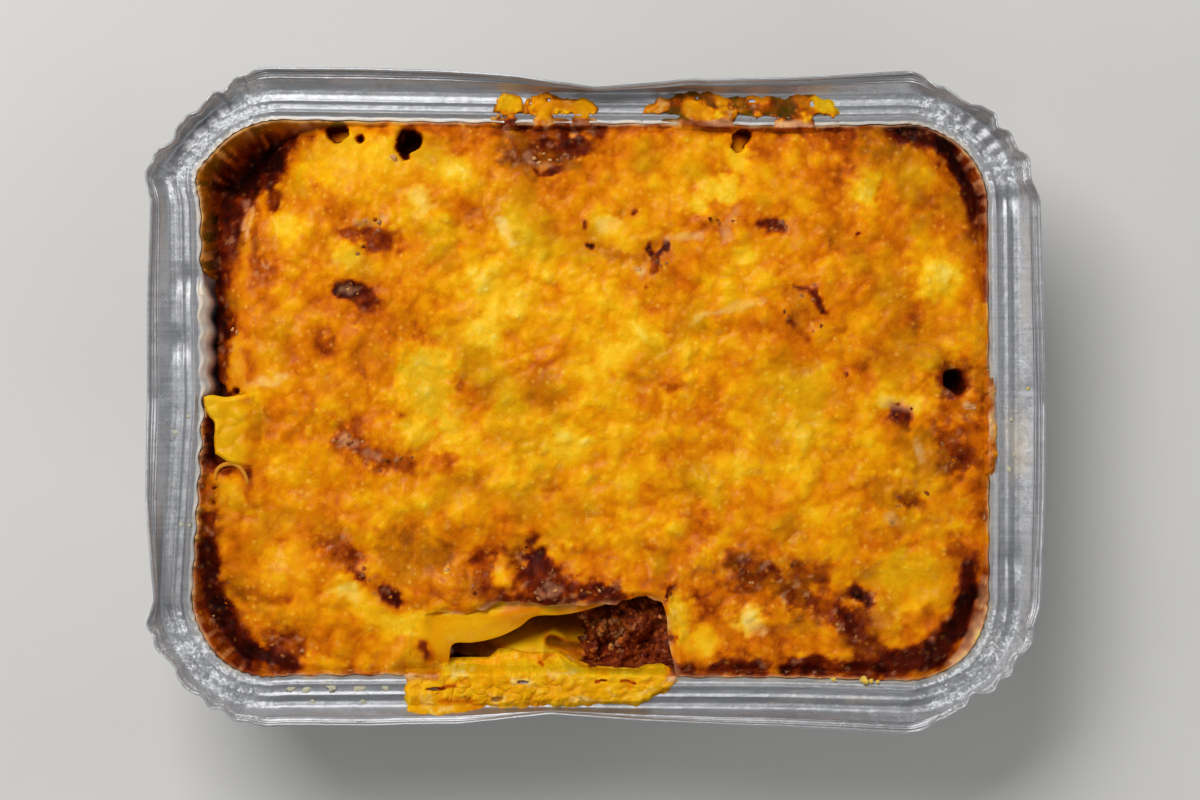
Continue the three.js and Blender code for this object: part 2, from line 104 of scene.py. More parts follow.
# Food: heights above the table, and where the whole surface sinks or swells (x, y, reach x, reach y, rise)
UPPER_SHEET_Z = 32.3
LOWER_SHEET_Z = 23
SHEET = 1.3
CRUST_Z = 36
CROWN = 1.6
EDGE_TROUGH = 1.1
EDGE_TROUGH_WIDTH = 3.5
GAP = 0.35
SHEET_LIFT = (-16, -42, 20, 5, 2.2)
SWELLS = [
    (-78, 52, 15, 12, -15), (-85, 14, 7, 23, -8), (82, 50, 8, 11, -4.5), (82, -52, 8, 12, -6),
    (-80, -50, 8, 12, -5), (-58, 47, 14, 9, 2.2), SHEET_LIFT, (84, -6, 7, 14, 2.4), (45, 20, 12, 10, 1.2),
    (-18, 12, 24, 16, 1.0), (-66, -38, 10, 8, 1.6), (-30, -33, 16, 5, -1.6), (52, -40, 20, 6, -1.8),
]
SHEET_CURL = (-13, -57, 11, 6.5, 9.5)


def smooth(t):
    """A smooth step: three t squared less two t cubed, held at 0 and 1 outside them."""
    c = np.clip(t, 0, 1)
    return c * c * (3 - 2 * c)


def lerp(a, b, t):
    """a at t 0 and b at t 1, in a straight line."""
    return a + (b - a) * t


def swell(place, x, y):
    """A round hump: its rise times e to minus the squared distance, with its own reach along x and y."""
    at_x, at_y, reach_x, reach_y, rise = place
    return rise * np.exp(-(((x - at_x) / reach_x) ** 2) - ((y - at_y) / reach_y) ** 2)


def from_picture(px, py):
    """Millimetres on the rim's plane for a place in the picture."""
    return (px - PICTURE_MIDDLE[0]) * PICTURE_SCALE, (PICTURE_MIDDLE[1] - py) * PICTURE_SCALE


def picture_swell(place, x, y):
    """A round hump at a place given in the picture."""
    return swell((*from_picture(*place[:2]), *place[2:]), x, y)


# Noise: random numbers worked out from whole-number places, so that they are the same in every run


def hashed(i, j, seed):
    """An even random number from 0 to 1 for each whole place, by multiplying, adding and folding bits."""
    h = (i.astype(np.int64) * 374761393 + j.astype(np.int64) * 668265263 + seed * 974634777) & 0xFFFFFFFF
    h = ((h ^ (h >> 13)) * 1274126177) & 0xFFFFFFFF
    return ((h ^ (h >> 16)) & 0xFFFFFF) / 0x1000000


def value_noise(x, y, seed):
    """Random numbers at whole places, joined smoothly between them, from -1 to 1."""
    i, j = np.floor(x), np.floor(y)
    u, v = smooth(x - i), smooth(y - j)
    near = lerp(hashed(i, j, seed), hashed(i + 1, j, seed), u)
    far = lerp(hashed(i, j + 1, seed), hashed(i + 1, j + 1, seed), u)
    return 2 * lerp(near, far, v) - 1


def fractal(x, y, size, octaves, seed):
    """Noise with features of a size in millimetres, plus finer ones, each half the size and height."""
    total = np.zeros(np.broadcast(x, y).shape)
    for k in range(octaves):
        step = size / 2**k
        turn = 0.6 + 1.1 * k
        across = (x * math.cos(turn) + y * math.sin(turn)) / step
        along = (y * math.cos(turn) - x * math.sin(turn)) / step
        total = total + value_noise(across + 17 * k, along - 9 * k, seed + k) / 2**k
    return total / (2 - 0.5 ** (octaves - 1))


def bent(x, y, amount, size, octaves, seed):
    """Places moved to and fro by noise, so that a pattern drawn on them is bent or ragged."""
    moved_x = x + amount * fractal(x, y, size, octaves, seed)
    return moved_x, y + amount * fractal(x, y, size, octaves, seed + 10)


def blobs(x, y, size, seed, bend=0.35):
    """Soft round humps at random places, one in each cell of a grid: each falls smoothly to 0 at a radius of
    its own. Returns the highest hump's height, from 0 to 1, and its random number."""
    u = x / size + bend * fractal(x, y, size * 1.7, 2, seed + 50)
    v = y / size + bend * fractal(x, y, size * 1.7, 2, seed + 70)
    i, j = np.floor(u), np.floor(v)
    best, own = np.zeros(u.shape), np.full(u.shape, 0.5)
    for di in (-1, 0, 1):
        for dj in (-1, 0, 1):
            ci, cj = i + di, j + dj
            radius = 0.45 + 0.4 * hashed(ci, cj, seed + 3)
            far = np.hypot(ci + hashed(ci, cj, seed) - u, cj + hashed(ci, cj, seed + 1) - v) / radius
            hump = (0.35 + 0.65 * hashed(ci, cj, seed + 2)) * smooth(1.15 - far)
            own = np.where(hump > best, hashed(ci, cj, seed + 4), own)
            best = np.maximum(best, hump)
    return best, own


# The rim: arrays with one entry for each column round the tray


def on_outline(shape, quarter, corner, t):
    """Points and outward normals on a rounded rectangle. Quarter 0 is the right side, then
    counter-clockwise."""
    turn = quarter * math.pi / 2
    out = np.array([math.cos(turn), math.sin(turn)])
    beside = np.array([-out[1], out[0]])
    halves = (shape["half_y"], shape["half_x"]) if quarter % 2 else (shape["half_x"], shape["half_y"])
    straight = halves[1] - shape["radius"]
    if not corner:
        point = TRAY_MIDDLE + out * halves[0] + beside * ((2 * t - 1) * straight)[:, None]
        return point, np.broadcast_to(out, point.shape)
    angle = turn + t * math.pi / 2
    normal = np.column_stack([np.cos(angle), np.sin(angle)])
    middle = TRAY_MIDDLE + out * (halves[0] - shape["radius"]) + beside * straight
    return middle + normal * shape["radius"], normal


def along(row, following, t):
    """The value at a share t of a row at equal steps, which runs on to the following row's first value."""
    return np.interp(t * len(row), np.arange(len(row) + 1), [*row, following[0]])


def around(values, width):
    """Values round the tray, evened out over some columns by a bell-shaped window."""
    window = np.hanning(width + 2)[1:-1]
    window /= window.sum()
    padded = np.concatenate([values[-width:], values, values[:width]])
    return np.convolve(padded, window, "same")[width:-width]


def bare_wall(x, y):
    """1 beside the left wall where the food has come away from it and the foil is clean and bright."""
    return smooth((-75 - x) / 2) * smooth((y + 1.2) / 3) * smooth((27 - y) / 4)


def make_rim():
    """Every column round the tray: its lip point, outward normal, floor point, lean of the outer lip, share
    of corner, flute, share of fan, share of the back left fan, which falls outwards, and distance along the
    lip."""
    stretches = []
    for q, quarter in enumerate(RIM):
        following = RIM[(q + 1) % len(RIM)]["side"]
        columns = LONG_COLUMNS if q % 2 else SHORT_COLUMNS
        for corner, count in ((False, columns), (True, CORNER_COLUMNS)):
            row, after = (quarter["corner"], following) if corner else (quarter["side"], quarter["corner"])
            t = np.arange(count) / count
            point, normal = on_outline(OPENING, q, corner, t)
            flutes = CORNER_PLEATS if corner else FLUTES[q]
            fan = np.clip(2.2 - np.abs(t - 0.5) / 0.11, 0, 1) * (corner and q < 2)
            stretches.append({
                "lip": point,
                "normal": normal,
                "floor": on_outline(FLOOR, q, corner, t)[0],
                "out": along(row["lip"], after["lip"], t),
                "reach": along(row["reach"], after["reach"], t),
                "corner": np.sin(math.pi * t) * corner,
                "flute": np.cos(TAU * flutes * t) * along(row["flute"], after["flute"], t),
                "fan": fan,
                "fall": fan * (q == 1),
            })
    rim = {name: np.concatenate([part[name] for part in stretches]) for name in stretches[0]}
    rim["lip"] = rim["lip"] + rim["normal"] * around(rim["out"], 9)[:, None]
    reach = around(rim["reach"], 5)
    rim["lean"] = np.arccos(np.clip((reach - LEDGE_WIDTH) / LIP_LENGTH, -1, 1))
    rim["corner"] = smooth(around(rim["corner"], 25) * 1.3)
    steps = np.linalg.norm(np.roll(rim["lip"], -1, axis=0) - rim["lip"], axis=1)
    rim["bare"] = bare_wall(*rim["lip"].T)
    rim["length"] = steps.sum()
    rim["s"] = np.concatenate([[0], np.cumsum(steps)[:-1]])
    return rim


rim = make_rim()


def at_rim(name, s):
    """One of the rim's arrays at distances s along the lip, in a straight line between columns."""
    values = rim[name]
    if values.ndim == 1:
        return np.interp(s, rim["s"], values, period=rim["length"])
    return np.stack([np.interp(s, rim["s"], values[:, k], period=rim["length"]) for k in (0, 1)], axis=-1)


def s_near(x, y):
    """Distance along the lip of the column nearest to a place."""
    gap = np.hypot(rim["lip"][:, 0] - x, rim["lip"][:, 1] - y)
    return rim["s"][np.argmin(gap)]


def flute_share(z):
    """How much of the wall's flutes there is at a height: none at the foot, all from a third up."""
    return smooth((z - 3) / 9)


# Where the wall is bare, its top is a rounded shoulder: heights, and how far it comes inwards there
SHOULDER = [(28, 0), (31.5, 0.7), (33.2, 1.1), (34.4, 1.2), (35.2, 1.1), (35.8, 0.8), (36.2, 0)]


def wall_at(s, z, fluted=1.0):
    """Points in plan on the wall's inner face: from the floor's outline to the lip in a straight slope, with
    a share of its flutes."""
    share = lerp(WALL_FOOT_SHARE, 1, np.clip((z - WALL_FOOT_Z) / (LIP_Z - WALL_FOOT_Z), -0.1, 1))
    plan = lerp(at_rim("floor", s), at_rim("lip", s), share[..., None])
    flute = fluted * FLUTE_DEPTH * at_rim("flute", s) * flute_share(z)
    shoulder = at_rim("bare", s) * np.interp(z, *np.array(SHOULDER).T)
    return plan + at_rim("normal", s) * (flute - shoulder)[..., None]


# The ledge's section: distance outside the lip, and height over the ledge's plane
LEDGE_KNOTS = [
    (0, 0.3), (0.5, 0.06), (0.9, 0.1), (1.65, 0.62), (2.4, 0.04), (3.3, 0.02), (4.0, 0.3), (4.6, 0.05),
    (5.3, -0.1), (6.0, 0.0),
]


def ledge_height(p):
    """Height of the ledge at a distance p outside the inner lip: knots joined by smooth steps."""
    knots_p, knots_z = np.array(LEDGE_KNOTS).T
    i = np.clip(np.searchsorted(knots_p, p, side="right") - 1, 0, len(knots_p) - 2)
    t = (p - knots_p[i]) / (knots_p[i + 1] - knots_p[i])
    return lerp(knots_z[i], knots_z[i + 1], smooth(t))


def crumple(x, y):
    """Sharp creases of crushed foil: folded noise, which is 0 along its creases and rises on both sides."""
    coarse = np.abs(fractal(x, y, 4.0, 2, 301))
    return coarse + 0.6 * np.abs(fractal(x, y, 1.7, 2, 311)) - 0.4


# Dents in the rim: place in the picture, reach and rise in millimetres
DENTS = [
    (190, 280, 2.6, -0.9), (178, 345, 3.0, -0.8), (164, 176, 2.6, -1.4), (1006, 200, 2.2, -0.8),
    (1014, 560, 3.0, -0.5), (930, 694, 3.4, -0.6), (250, 700, 3.0, -0.7), (690, 96, 4.0, -0.5),
]


def rim_surface(s, p):
    """The foil's upper face at distance s along the lip and p outwards over the foil: the ledge up to the
    fold, then the outer lip, which turns up smoothly by its lean. Returns points and outward tilts."""
    plan, normal = at_rim("lip", s), at_rim("normal", s)
    lean, corner = at_rim("lean", s), at_rim("corner", s)
    q = np.clip(p - LEDGE_WIDTH, 0, None)
    lean = np.maximum(lean + corner * 0.13 * np.sin(s * 1.25 + 1.1 * np.sin(s * 0.4)), 0.05)
    bent = np.minimum(q, FOLD_LENGTH)
    rest = q - bent
    rate = lean / FOLD_LENGTH
    out = np.minimum(p, LEDGE_WIDTH) + np.sin(rate * bent) / rate + rest * np.cos(lean)
    rise = (1 - np.cos(rate * bent)) / rate + rest * np.sin(lean)
    ledge = ledge_height(np.clip(p, 0, LEDGE_WIDTH)) * (1 - 0.55 * corner)
    flute = FLUTE_DEPTH * at_rim("flute", s) * (1 - smooth(p / 1.4))
    x = plan[..., 0] + normal[..., 0] * (out + flute)
    y = plan[..., 1] + normal[..., 1] * (out + flute)
    fan = at_rim("fan", s) * smooth((p - 3) / 1.2)
    facets = 2 * np.abs(2 * (s / FAN_STEP % 1) - 1) - 1
    radial = fractal(s, 0.12 * p, 1.5, 2, 321)
    crushed = corner * (1 - 0.9 * fan) * smooth(p / 1.5)
    rough = (0.1 + 0.36 * crushed) * crumple(x, y) * smooth(p / 1.5) + 0.38 * crushed * radial
    rough = rough + 0.22 * fan * facets
    for px, py, reach, depth in DENTS:
        rough = rough + picture_swell((px, py, reach, reach, depth), x, y)
    tilt = lean * smooth(q / FOLD_LENGTH)
    fallen = 0.15 * at_rim("fall", s) * np.clip(p - 3, 0, LEDGE_WIDTH - 3)
    z = LEDGE_Z + ledge + rise + rough * np.cos(tilt) - fallen
    side = -rough * np.sin(tilt)
    return np.stack([x + normal[..., 0] * side, y + normal[..., 1] * side, z], axis=-1), tilt


# Heights of the food

COLUMN_STEP = 3  # places look for the nearest of every third column
WALL_REACH = 10.0  # how far in plan the sloping wall can matter
FAR = 99.0  # farther away or higher than anything

def from_wall(x, y):
    """Distance in plan from the plain inner lip, inwards: the distance to a rounded rectangle."""
    qx = np.abs(x - TRAY_MIDDLE[0]) - (OPENING["half_x"] - OPENING["radius"])
    qy = np.abs(y - TRAY_MIDDLE[1]) - (OPENING["half_y"] - OPENING["radius"])
    outside = np.hypot(np.maximum(qx, 0), np.maximum(qy, 0)) + np.minimum(np.maximum(qx, qy), 0)
    return OPENING["radius"] - outside


def wall_height(x, y):
    """Height of the wall's inner face over a place near it, and the distance along the lip there: each place
    looks for its nearest column, and its share of the way from floor to lip gives the height."""
    height, s = np.full(x.shape, -FAR), np.zeros(x.shape)
    near = from_wall(x, y) < WALL_REACH
    place = np.stack([x[near], y[near]], -1)
    lips = rim["lip"][None, ::COLUMN_STEP]
    gap = (place[:, None, 0] - lips[..., 0]) ** 2 + (place[:, None, 1] - lips[..., 1]) ** 2
    k = np.argmin(gap, axis=1) * COLUMN_STEP
    normal = rim["normal"][k]
    lip = rim["lip"][k] + normal * (FLUTE_DEPTH * rim["flute"][k])[:, None]
    to_lip = np.einsum("ij,ij->i", lip - place, normal)
    to_floor = np.einsum("ij,ij->i", place - rim["floor"][k], normal)
    share = to_floor / (to_lip + to_floor)
    height[near] = WALL_FOOT_Z + (share - WALL_FOOT_SHARE) / (1 - WALL_FOOT_SHARE) * (LIP_Z - WALL_FOOT_Z)
    s[near] = rim["s"][k]
    return height, s


def waves(x, y):
    """Gentle waves of the layers, as sums of sines."""
    return 0.55 * np.sin(x / 11 + 1.3) * np.cos(y / 9.5 - 0.4) + 0.35 * np.sin((x + 1.4 * y) / 8.5 + 2)


def food_height(x, y):
    """The broad height of the food: a low crown, a trough beside the wall, waves, and the swells."""
    crown = CROWN * (1 - (x / OPENING["half_x"]) ** 4) * (1 - (y / OPENING["half_y"]) ** 4)
    trough = EDGE_TROUGH * (1 - smooth(from_wall(x, y) / EDGE_TROUGH_WIDTH))
    return CRUST_Z + crown - trough + waves(x, y) + sum(swell(s, x, y) for s in SWELLS)


def upper_sheet_top(x, y):
    """The upper sheet keeps level, but sinks with the food in the corners."""
    level = UPPER_SHEET_Z + SHEET + waves(x, y) + 0.9 * swell(SHEET_LIFT, x, y)
    return np.minimum(level, food_height(x, y) - 2.5)


def lower_sheet_top(x, y):
    """The lower sheet keeps level, turns up at the front, and stays under the upper sheet elsewhere."""
    level = LOWER_SHEET_Z + 0.7 * waves(x + 9, y - 4) + swell(SHEET_CURL, x, y)
    return np.minimum(level, upper_sheet_top(x, y) - SHEET - 1.9)


# Meshes


def grid_faces(rows, columns, first=0, wrap=False):
    """Quads of a grid whose points are numbered row by row. With wrap, the last column joins the first."""
    i = np.arange(rows - 1)[:, None]
    j = np.arange(columns if wrap else columns - 1)[None, :]
    after = (j + 1) % columns
    corners = [i * columns + j, i * columns + after, (i + 1) * columns + after, (i + 1) * columns + j]
    quads = np.stack([np.broadcast_to(c, (rows - 1, j.size)) for c in corners], axis=-1)
    return first + quads.reshape(-1, 4)


def border(rows, columns):
    """Numbers of a grid's border points, counter-clockwise from its first one."""
    across = np.arange(columns - 1)
    up = np.arange(rows - 1) * columns
    last = rows * columns - 1
    return np.concatenate([across, up + columns - 1, last - across, (rows - 1) * columns - up])


def make_mesh(name, points, faces, masks=None):
    """A mesh object from points in millimetres and lists of quads and triangles, with float attributes."""
    mesh = bpy.data.meshes.new(name)
    places = (np.asarray(points).reshape(-1, 3) + TO_PART) * MM
    corners = np.concatenate([f.reshape(-1) for f in faces])
    sizes = np.concatenate([np.full(len(f), f.shape[1]) for f in faces])
    mesh.vertices.add(len(places))
    mesh.vertices.foreach_set("co", places.astype(np.float32).ravel())
    mesh.loops.add(len(corners))
    mesh.loops.foreach_set("vertex_index", corners.astype(np.int32))
    mesh.polygons.add(len(sizes))
    starts = np.concatenate([[0], np.cumsum(sizes)[:-1]])
    mesh.polygons.foreach_set("loop_start", starts.astype(np.int32))
    mesh.update(calc_edges=True)
    mesh.validate()
    mesh.shade_smooth()
    for mask, values in (masks or {}).items():
        attribute = mesh.attributes.new(mask, "FLOAT", "POINT")
        attribute.data.foreach_set("value", np.asarray(values, np.float32).ravel())
    piece = bpy.data.objects.new(name, mesh)
    bpy.context.scene.collection.objects.link(piece)
    return piece


COARSE = 4  # lower faces keep every fourth row and column


def slab(name, top, under, masks):
    """A closed piece between an upper and a lower grid. The lower one is thinned out, and fans of triangles
    join the two borders. Masks are numbers, or arrays on the upper grid."""
    low = under[::COARSE, ::COARSE]
    rows, columns = top.shape[:2]
    low_rows, low_columns = low.shape[:2]
    first = rows * columns
    ring = border(rows, columns)
    low_ring = first + border(low_rows, low_columns)
    i = np.arange(len(ring))
    j = np.arange(len(low_ring))
    opposite = low_ring[((i + COARSE // 2) // COARSE) % len(low_ring)]
    fans = np.stack([ring, opposite, np.roll(ring, -1)], -1)
    tips = ring[(COARSE * (j + 1) - COARSE // 2) % len(ring)]
    ends = np.stack([low_ring, np.roll(low_ring, -1), tips], -1)
    faces = [grid_faces(rows, columns), grid_faces(low_rows, low_columns, first)[:, ::-1], fans, ends]
    points = np.concatenate([top.reshape(-1, 3), low.reshape(-1, 3)])
    spread = {}
    for mask, values in masks.items():
        values = np.broadcast_to(values, (rows, columns))
        spread[mask] = np.concatenate([values.ravel(), values[::COARSE, ::COARSE].ravel()])
    return make_mesh(name, points, faces, spread)


def rides(piece, slot, *nodes):
    """The piece moves with the part's one body and stands for nodes, which it hides. Its slot is not used.
    """
    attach(piece, "root")
    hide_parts(*nodes)
    return piece


# The foil tray


def tray_rows():
    """The foil's upper face, row by row from the floor's middle outwards: flat floor, round foot, sloping
    fluted wall, rippled ledge and outer lip."""
    s = rim["s"]
    floor, lip, normal = rim["floor"], rim["lip"], rim["normal"]
    foot = floor - 3.2 * normal
    rows, outside = [], []

    def row(plan, z):
        """Adds a row at a height."""
        rows.append(np.column_stack([plan, np.broadcast_to(z, len(plan))]))
        outside.append(z - LIP_Z)

    for share in (0.04, 0.3, 0.6, 0.85, 0.96):
        row(lerp(TRAY_MIDDLE, foot, share), FOIL)
    top = lerp(floor, lip, WALL_FOOT_SHARE)
    for t in np.linspace(0, 1, 6)[:-1]:
        plan = foot * (1 - t) ** 2 + floor * 2 * t * (1 - t) + top * t**2
        row(plan, FOIL + (WALL_FOOT_Z - FOIL) * t**2)
    for z in [*np.linspace(WALL_FOOT_Z, 31.5, 11), 33.2, 34.4, 35.2, 35.8]:
        rough = 0.16 * fractal(s + 3 * z, z * 1.3, 6, 2, 201) + 0.25 * rim["corner"] * crumple(s, z)
        row(wall_at(s, np.full(len(s), z)) + normal * rough[:, None], z)
    steps = [*np.linspace(0, LEDGE_WIDTH, 27), *np.linspace(LEDGE_WIDTH + 0.25, LEDGE_WIDTH + 3.2, 9)]
    for p in [*steps, *np.linspace(LEDGE_WIDTH + 3.4, LEDGE_WIDTH + LIP_LENGTH, 11)]:
        points, tilt = rim_surface(s, np.full(len(s), p))
        line = 0.11 * math.cos((p - LEDGE_WIDTH - LIP_LENGTH) * TAU / 0.62) * (p > LEDGE_WIDTH + 3.3)
        points[:, :2] -= normal * (line * np.sin(tilt))[:, None]
        points[:, 2] += line * np.cos(tilt)
        rows.append(points)
        outside.append(p)
    return rows, outside


def moved_in(rows, thickness):
    """Rows moved square to themselves, to the foil's lower side, by the section's own tangent."""
    grid = np.stack(rows)
    tangent = np.gradient(grid, axis=0)
    out = np.einsum("rcx,cx->rc", tangent[..., :2], rim["normal"])
    size = np.hypot(out, tangent[..., 2])
    out, up = out / size, tangent[..., 2] / size
    under = grid.copy()
    under[..., :2] += rim["normal"] * (up * thickness)[..., None]
    under[..., 2] -= out * thickness
    return under


def make_tray():
    """The foil as a closed skin: the upper face, a rolled hem, and the lower face with fewer rows."""
    rows, outside = tray_rows()
    lower = moved_in(rows, FOIL)
    lower[..., 2] = np.maximum(lower[..., 2], 0)
    keep = [*range(10), *range(10, 24, 2), *range(24, 50, 4), *range(50, len(rows) - 12, 4), len(rows) - 6]
    edge = rows[-1]
    last = lower[-1]
    middle = (edge + last) / 2
    away = edge - rows[-3]
    away = away / np.linalg.norm(away, axis=1)[:, None]
    half = (edge - last) / 2
    hem = []
    for turn in np.linspace(0.25, 0.75, 5) * math.pi * 2 - math.pi / 2:
        hem.append(middle + half * 1.5 * math.cos(turn) + away * 0.42 * (0.4 + math.sin(turn)))
    skin = np.stack([*rows, *hem, *[lower[k] for k in reversed(keep)]])
    count = len(rim["s"])
    faces = grid_faces(len(skin), count, wrap=True)
    ends = np.array([[*TRAY_MIDDLE, FOIL], [*TRAY_MIDDLE, 0]])
    points = np.concatenate([skin.reshape(-1, 3), ends])
    top = len(points) - 2
    i = np.arange(count)
    after = (i + 1) % count
    last_row = (len(skin) - 1) * count
    caps = [
        np.stack([np.full(count, top), i, after], -1),
        np.stack([np.full(count, top + 1), last_row + after, last_row + i], -1),
    ]
    p = np.array([*outside, *[outside[-1]] * len(hem), *[outside[k] for k in reversed(keep)]])
    p = np.append(np.repeat(p, count), [-LEDGE_Z, -LEDGE_Z])
    s = np.append(np.tile(rim["s"], len(skin)), [0, 0])
    upper = np.append(np.repeat(np.arange(len(skin)) < len(rows), count), [True, False])
    piece = make_mesh("tray", points, [faces[:, ::-1], *caps], tray_masks(points, s, p, upper))
    piece.data.set_sharp_from_angle(angle=math.radians(50))
    return rides(piece, "foil", "foil_tray")


def tray_masks(points, s, p, upper):
    """Where brown juices have baked onto the foil inside the wall (film), and where pale marks lie: set fat
    in smears over the rim, a line along the lip that is set fat and a painted highlight of the lip's bright
    edge, and a painted highlight on the bare shoulder, both on the upper face only. The foil is crushed at
    the corners, beside their fans (crush)."""
    x, y, z = points.T
    inside = from_wall(x, y)
    film = smooth((inside - 0.2) / 1.2) * smooth((z - 8) / 10)
    film = film * (0.75 + 0.35 * fractal(x, y, 5, 3, 331)) * (1 - bare_wall(x, y))
    # A pale line along the lip: set fat, and a painted highlight of the lip's bright edge.
    line = smooth((0.75 - np.abs(p - 0.15)) / 0.4) * (0.8 + 0.5 * fractal(x, y, 3, 3, 335))
    smear_and_highlight = line * (1 - 0.7 * bare_wall(x, y))
    for stain in RIM_STAINS:
        smear_and_highlight = np.maximum(smear_and_highlight, picture_swell(stain, x, y))
    # On the bare shoulder the pale mark is only a painted highlight, for the bright edge of the clean foil.
    smear_and_highlight = np.maximum(smear_and_highlight, 1.3 * bare_wall(x, y) * smooth((z - 32.5) / 1.5) * (p < 0.5))
    smear_and_highlight = smear_and_highlight * (0.7 + 0.5 * fractal(x, y, 3, 3, 341)) * upper
    film = film * upper
    fan = at_rim("fan", s) * smooth((p - 3) / 1.2)
    crush = (0.12 + 0.88 * at_rim("corner", s) * (1 - 0.8 * fan)) * smooth((p + 0.3) / 0.6)
    return {"film": np.clip(film, 0, 1), "smear_and_highlight": np.clip(smear_and_highlight, 0, 1), "crush": crush}


# Smears on the rim: place in the picture, reach in millimetres, strength
RIM_STAINS = [
    (1016, 445, 3.4, 11, 0.8), (1025, 290, 1.3, 26, 0.45), (840, 700, 16, 1.4, 0.45),
    (760, 703, 10, 1.2, 0.3), (985, 640, 4, 7, 0.35), (1024, 580, 1.3, 16, 0.3), (345, 82, 2, 1.2, 0.5),
    (170, 430, 2.5, 3, 0.3), (168, 260, 1.2, 12, 0.25), (168, 340, 1.2, 8, 0.25),
]


# Food layers: grids that fill the tray from wall to wall


def resample(line, shares):
    """Points at shares of a line's length."""
    steps = np.linalg.norm(np.diff(line, axis=0), axis=1)
    place = np.concatenate([[0], np.cumsum(steps)]) / steps.sum()
    return np.stack([np.interp(shares, place, line[:, k]) for k in (0, 1)], axis=-1)


def rounded_line(points, count):
    """A smooth line through points: a Catmull-Rom curve, whose tangents run between each point's
    neighbours."""
    knots = np.array(points, float)
    padded = np.concatenate([[2 * knots[0] - knots[1]], knots, [2 * knots[-1] - knots[-2]]])
    place = np.linspace(0, len(knots) - 1, count)
    i = np.clip(np.floor(place).astype(int), 0, len(knots) - 2)
    t = (place - i)[:, None]
    a, b, c, d = (padded[i + k] for k in range(4))
    return 0.5 * (2 * b + (c - a) * t + (2 * a - 5 * b + 4 * c - d) * t**2 + (3 * b - a - 3 * c + d) * t**3)


EVENED = 7  # points on each side over which a line on the wall is evened out


def wall_line(quarter, height, inset, count=400):
    """The line where a surface meets the wall, between the middles of two corners. Its height depends on its
    place and its place on its height, so the two are worked out in turn a few times."""
    middles = [s_near(*corner_middle(q)) for q in range(4)]
    start, end = middles[quarter - 1], middles[quarter]
    s = np.linspace(start, end + (rim["length"] if end < start else 0), count)
    z = np.full(count, float(LEDGE_Z))
    fluted = smooth(np.minimum(s - s[0], s[-1] - s) / 7)
    bell = np.hanning(2 * EVENED + 3)
    window = bell[1:-1] / bell.sum()
    for _ in range(5):
        plan = wall_at(s, z, fluted)
        z = lerp(z, np.minimum(height(plan[:, 0], plan[:, 1]), LIP_Z), 0.8)
        z = np.convolve(np.pad(z, EVENED, mode="edge"), window, "valid")
    return wall_at(s, z, fluted) - at_rim("normal", s) * inset


def corner_middle(quarter):
    """The lip's point in the middle of the corner after a side."""
    columns = [SHORT_COLUMNS, LONG_COLUMNS] * 2
    at = sum(columns[: quarter + 1]) + quarter * CORNER_COLUMNS + CORNER_COLUMNS // 2
    return rim["lip"][at]


def patch(front, back, left, right, u, v):
    """A grid in plan between four border lines that share their ends, blended across (a Coons patch)."""
    front, back, left, right = resample(front, u), resample(back, u), resample(left, v), resample(right, v)
    across, up = u[None, :, None], v[:, None, None]
    sides = lerp(left[:, None], right[:, None], across) + lerp(front[None], back[None], up)
    corners = lerp(lerp(front[0], front[-1], across), lerp(back[0], back[-1], across), up)
    return sides - corners


def tray_plan(height, u, v, inset=0.15, notch=None):
    """A grid in plan over the whole tray at a surface's height. Its four borders lie on the wall. A notch
    cuts into the front border along a line of its own."""
    right, back = wall_line(0, height, inset), wall_line(1, height, inset)[::-1]
    left, front = wall_line(2, height, inset)[::-1], wall_line(3, height, inset)
    if notch is not None:
        notch = notch[notch[:, 1] > np.interp(notch[:, 0], front[:, 0], front[:, 1]) + 0.05]
        before = front[front[:, 0] < notch[0, 0]]
        after = front[front[:, 0] > notch[-1, 0]]
        front = np.concatenate([before, notch, after])
    return patch(front, back, left, right, u, v)


def layer(name, plan, height, under, masks):
    """A piece that fills the tray over a grid in plan, both faces kept above the tray's wall."""
    height, under = inside_tray(plan[..., 0], plan[..., 1], height, under)
    return slab(name, with_height(plan, height), with_height(plan, under), masks)


def with_height(plan, height):
    """A grid of points from a grid in plan and its heights."""
    return np.concatenate([plan, height[..., None]], axis=-1)


def shares_near(focus, near, count, close):
    """Shares from 0 to 1, closer together within reach of a focus: even steps of a density, summed up."""
    t = np.linspace(0, 1, 2001)
    density = 1 + close * np.exp(-(((t - focus) / near) ** 4))
    total = np.concatenate([[0], np.cumsum((density[1:] + density[:-1]) / 2)])
    return np.interp(np.linspace(0, 1, count), total / total[-1], t)


# The torn gap at the front: the crust's broken edge, and the free edge of the sheet that lifts over it
CRUST_NOTCH = [
    (-39.6, -59.6), (-39.4, -54), (-38.9, -49.5), (-37.8, -46.8), (-35.4, -45.7), (-32.2, -45.6),
    (-27.5, -46), (-21.3, -43.6), (-14, -43.1), (-7.7, -43.6), (-1.3, -44.1), (3.4, -43.2), (9.4, -42.2),
    (13.2, -43.2), (15, -46), (15.3, -50), (16, -54), (17.4, -59.6),
]
SHEET_NOTCH = [
    (-31.8, -59.6), (-31.5, -55.6), (-30.6, -52.5), (-26.4, -52.2), (-22.6, -51.5), (-19.4, -50.4),
    (-16.2, -48.7), (-14.1, -47), (-11.9, -46.3), (-8, -46.2), (-4, -45.6), (0.9, -44.2), (6, -42.8),
    (12, -42), (16.6, -44), (18, -50), (19.5, -59.6),
]

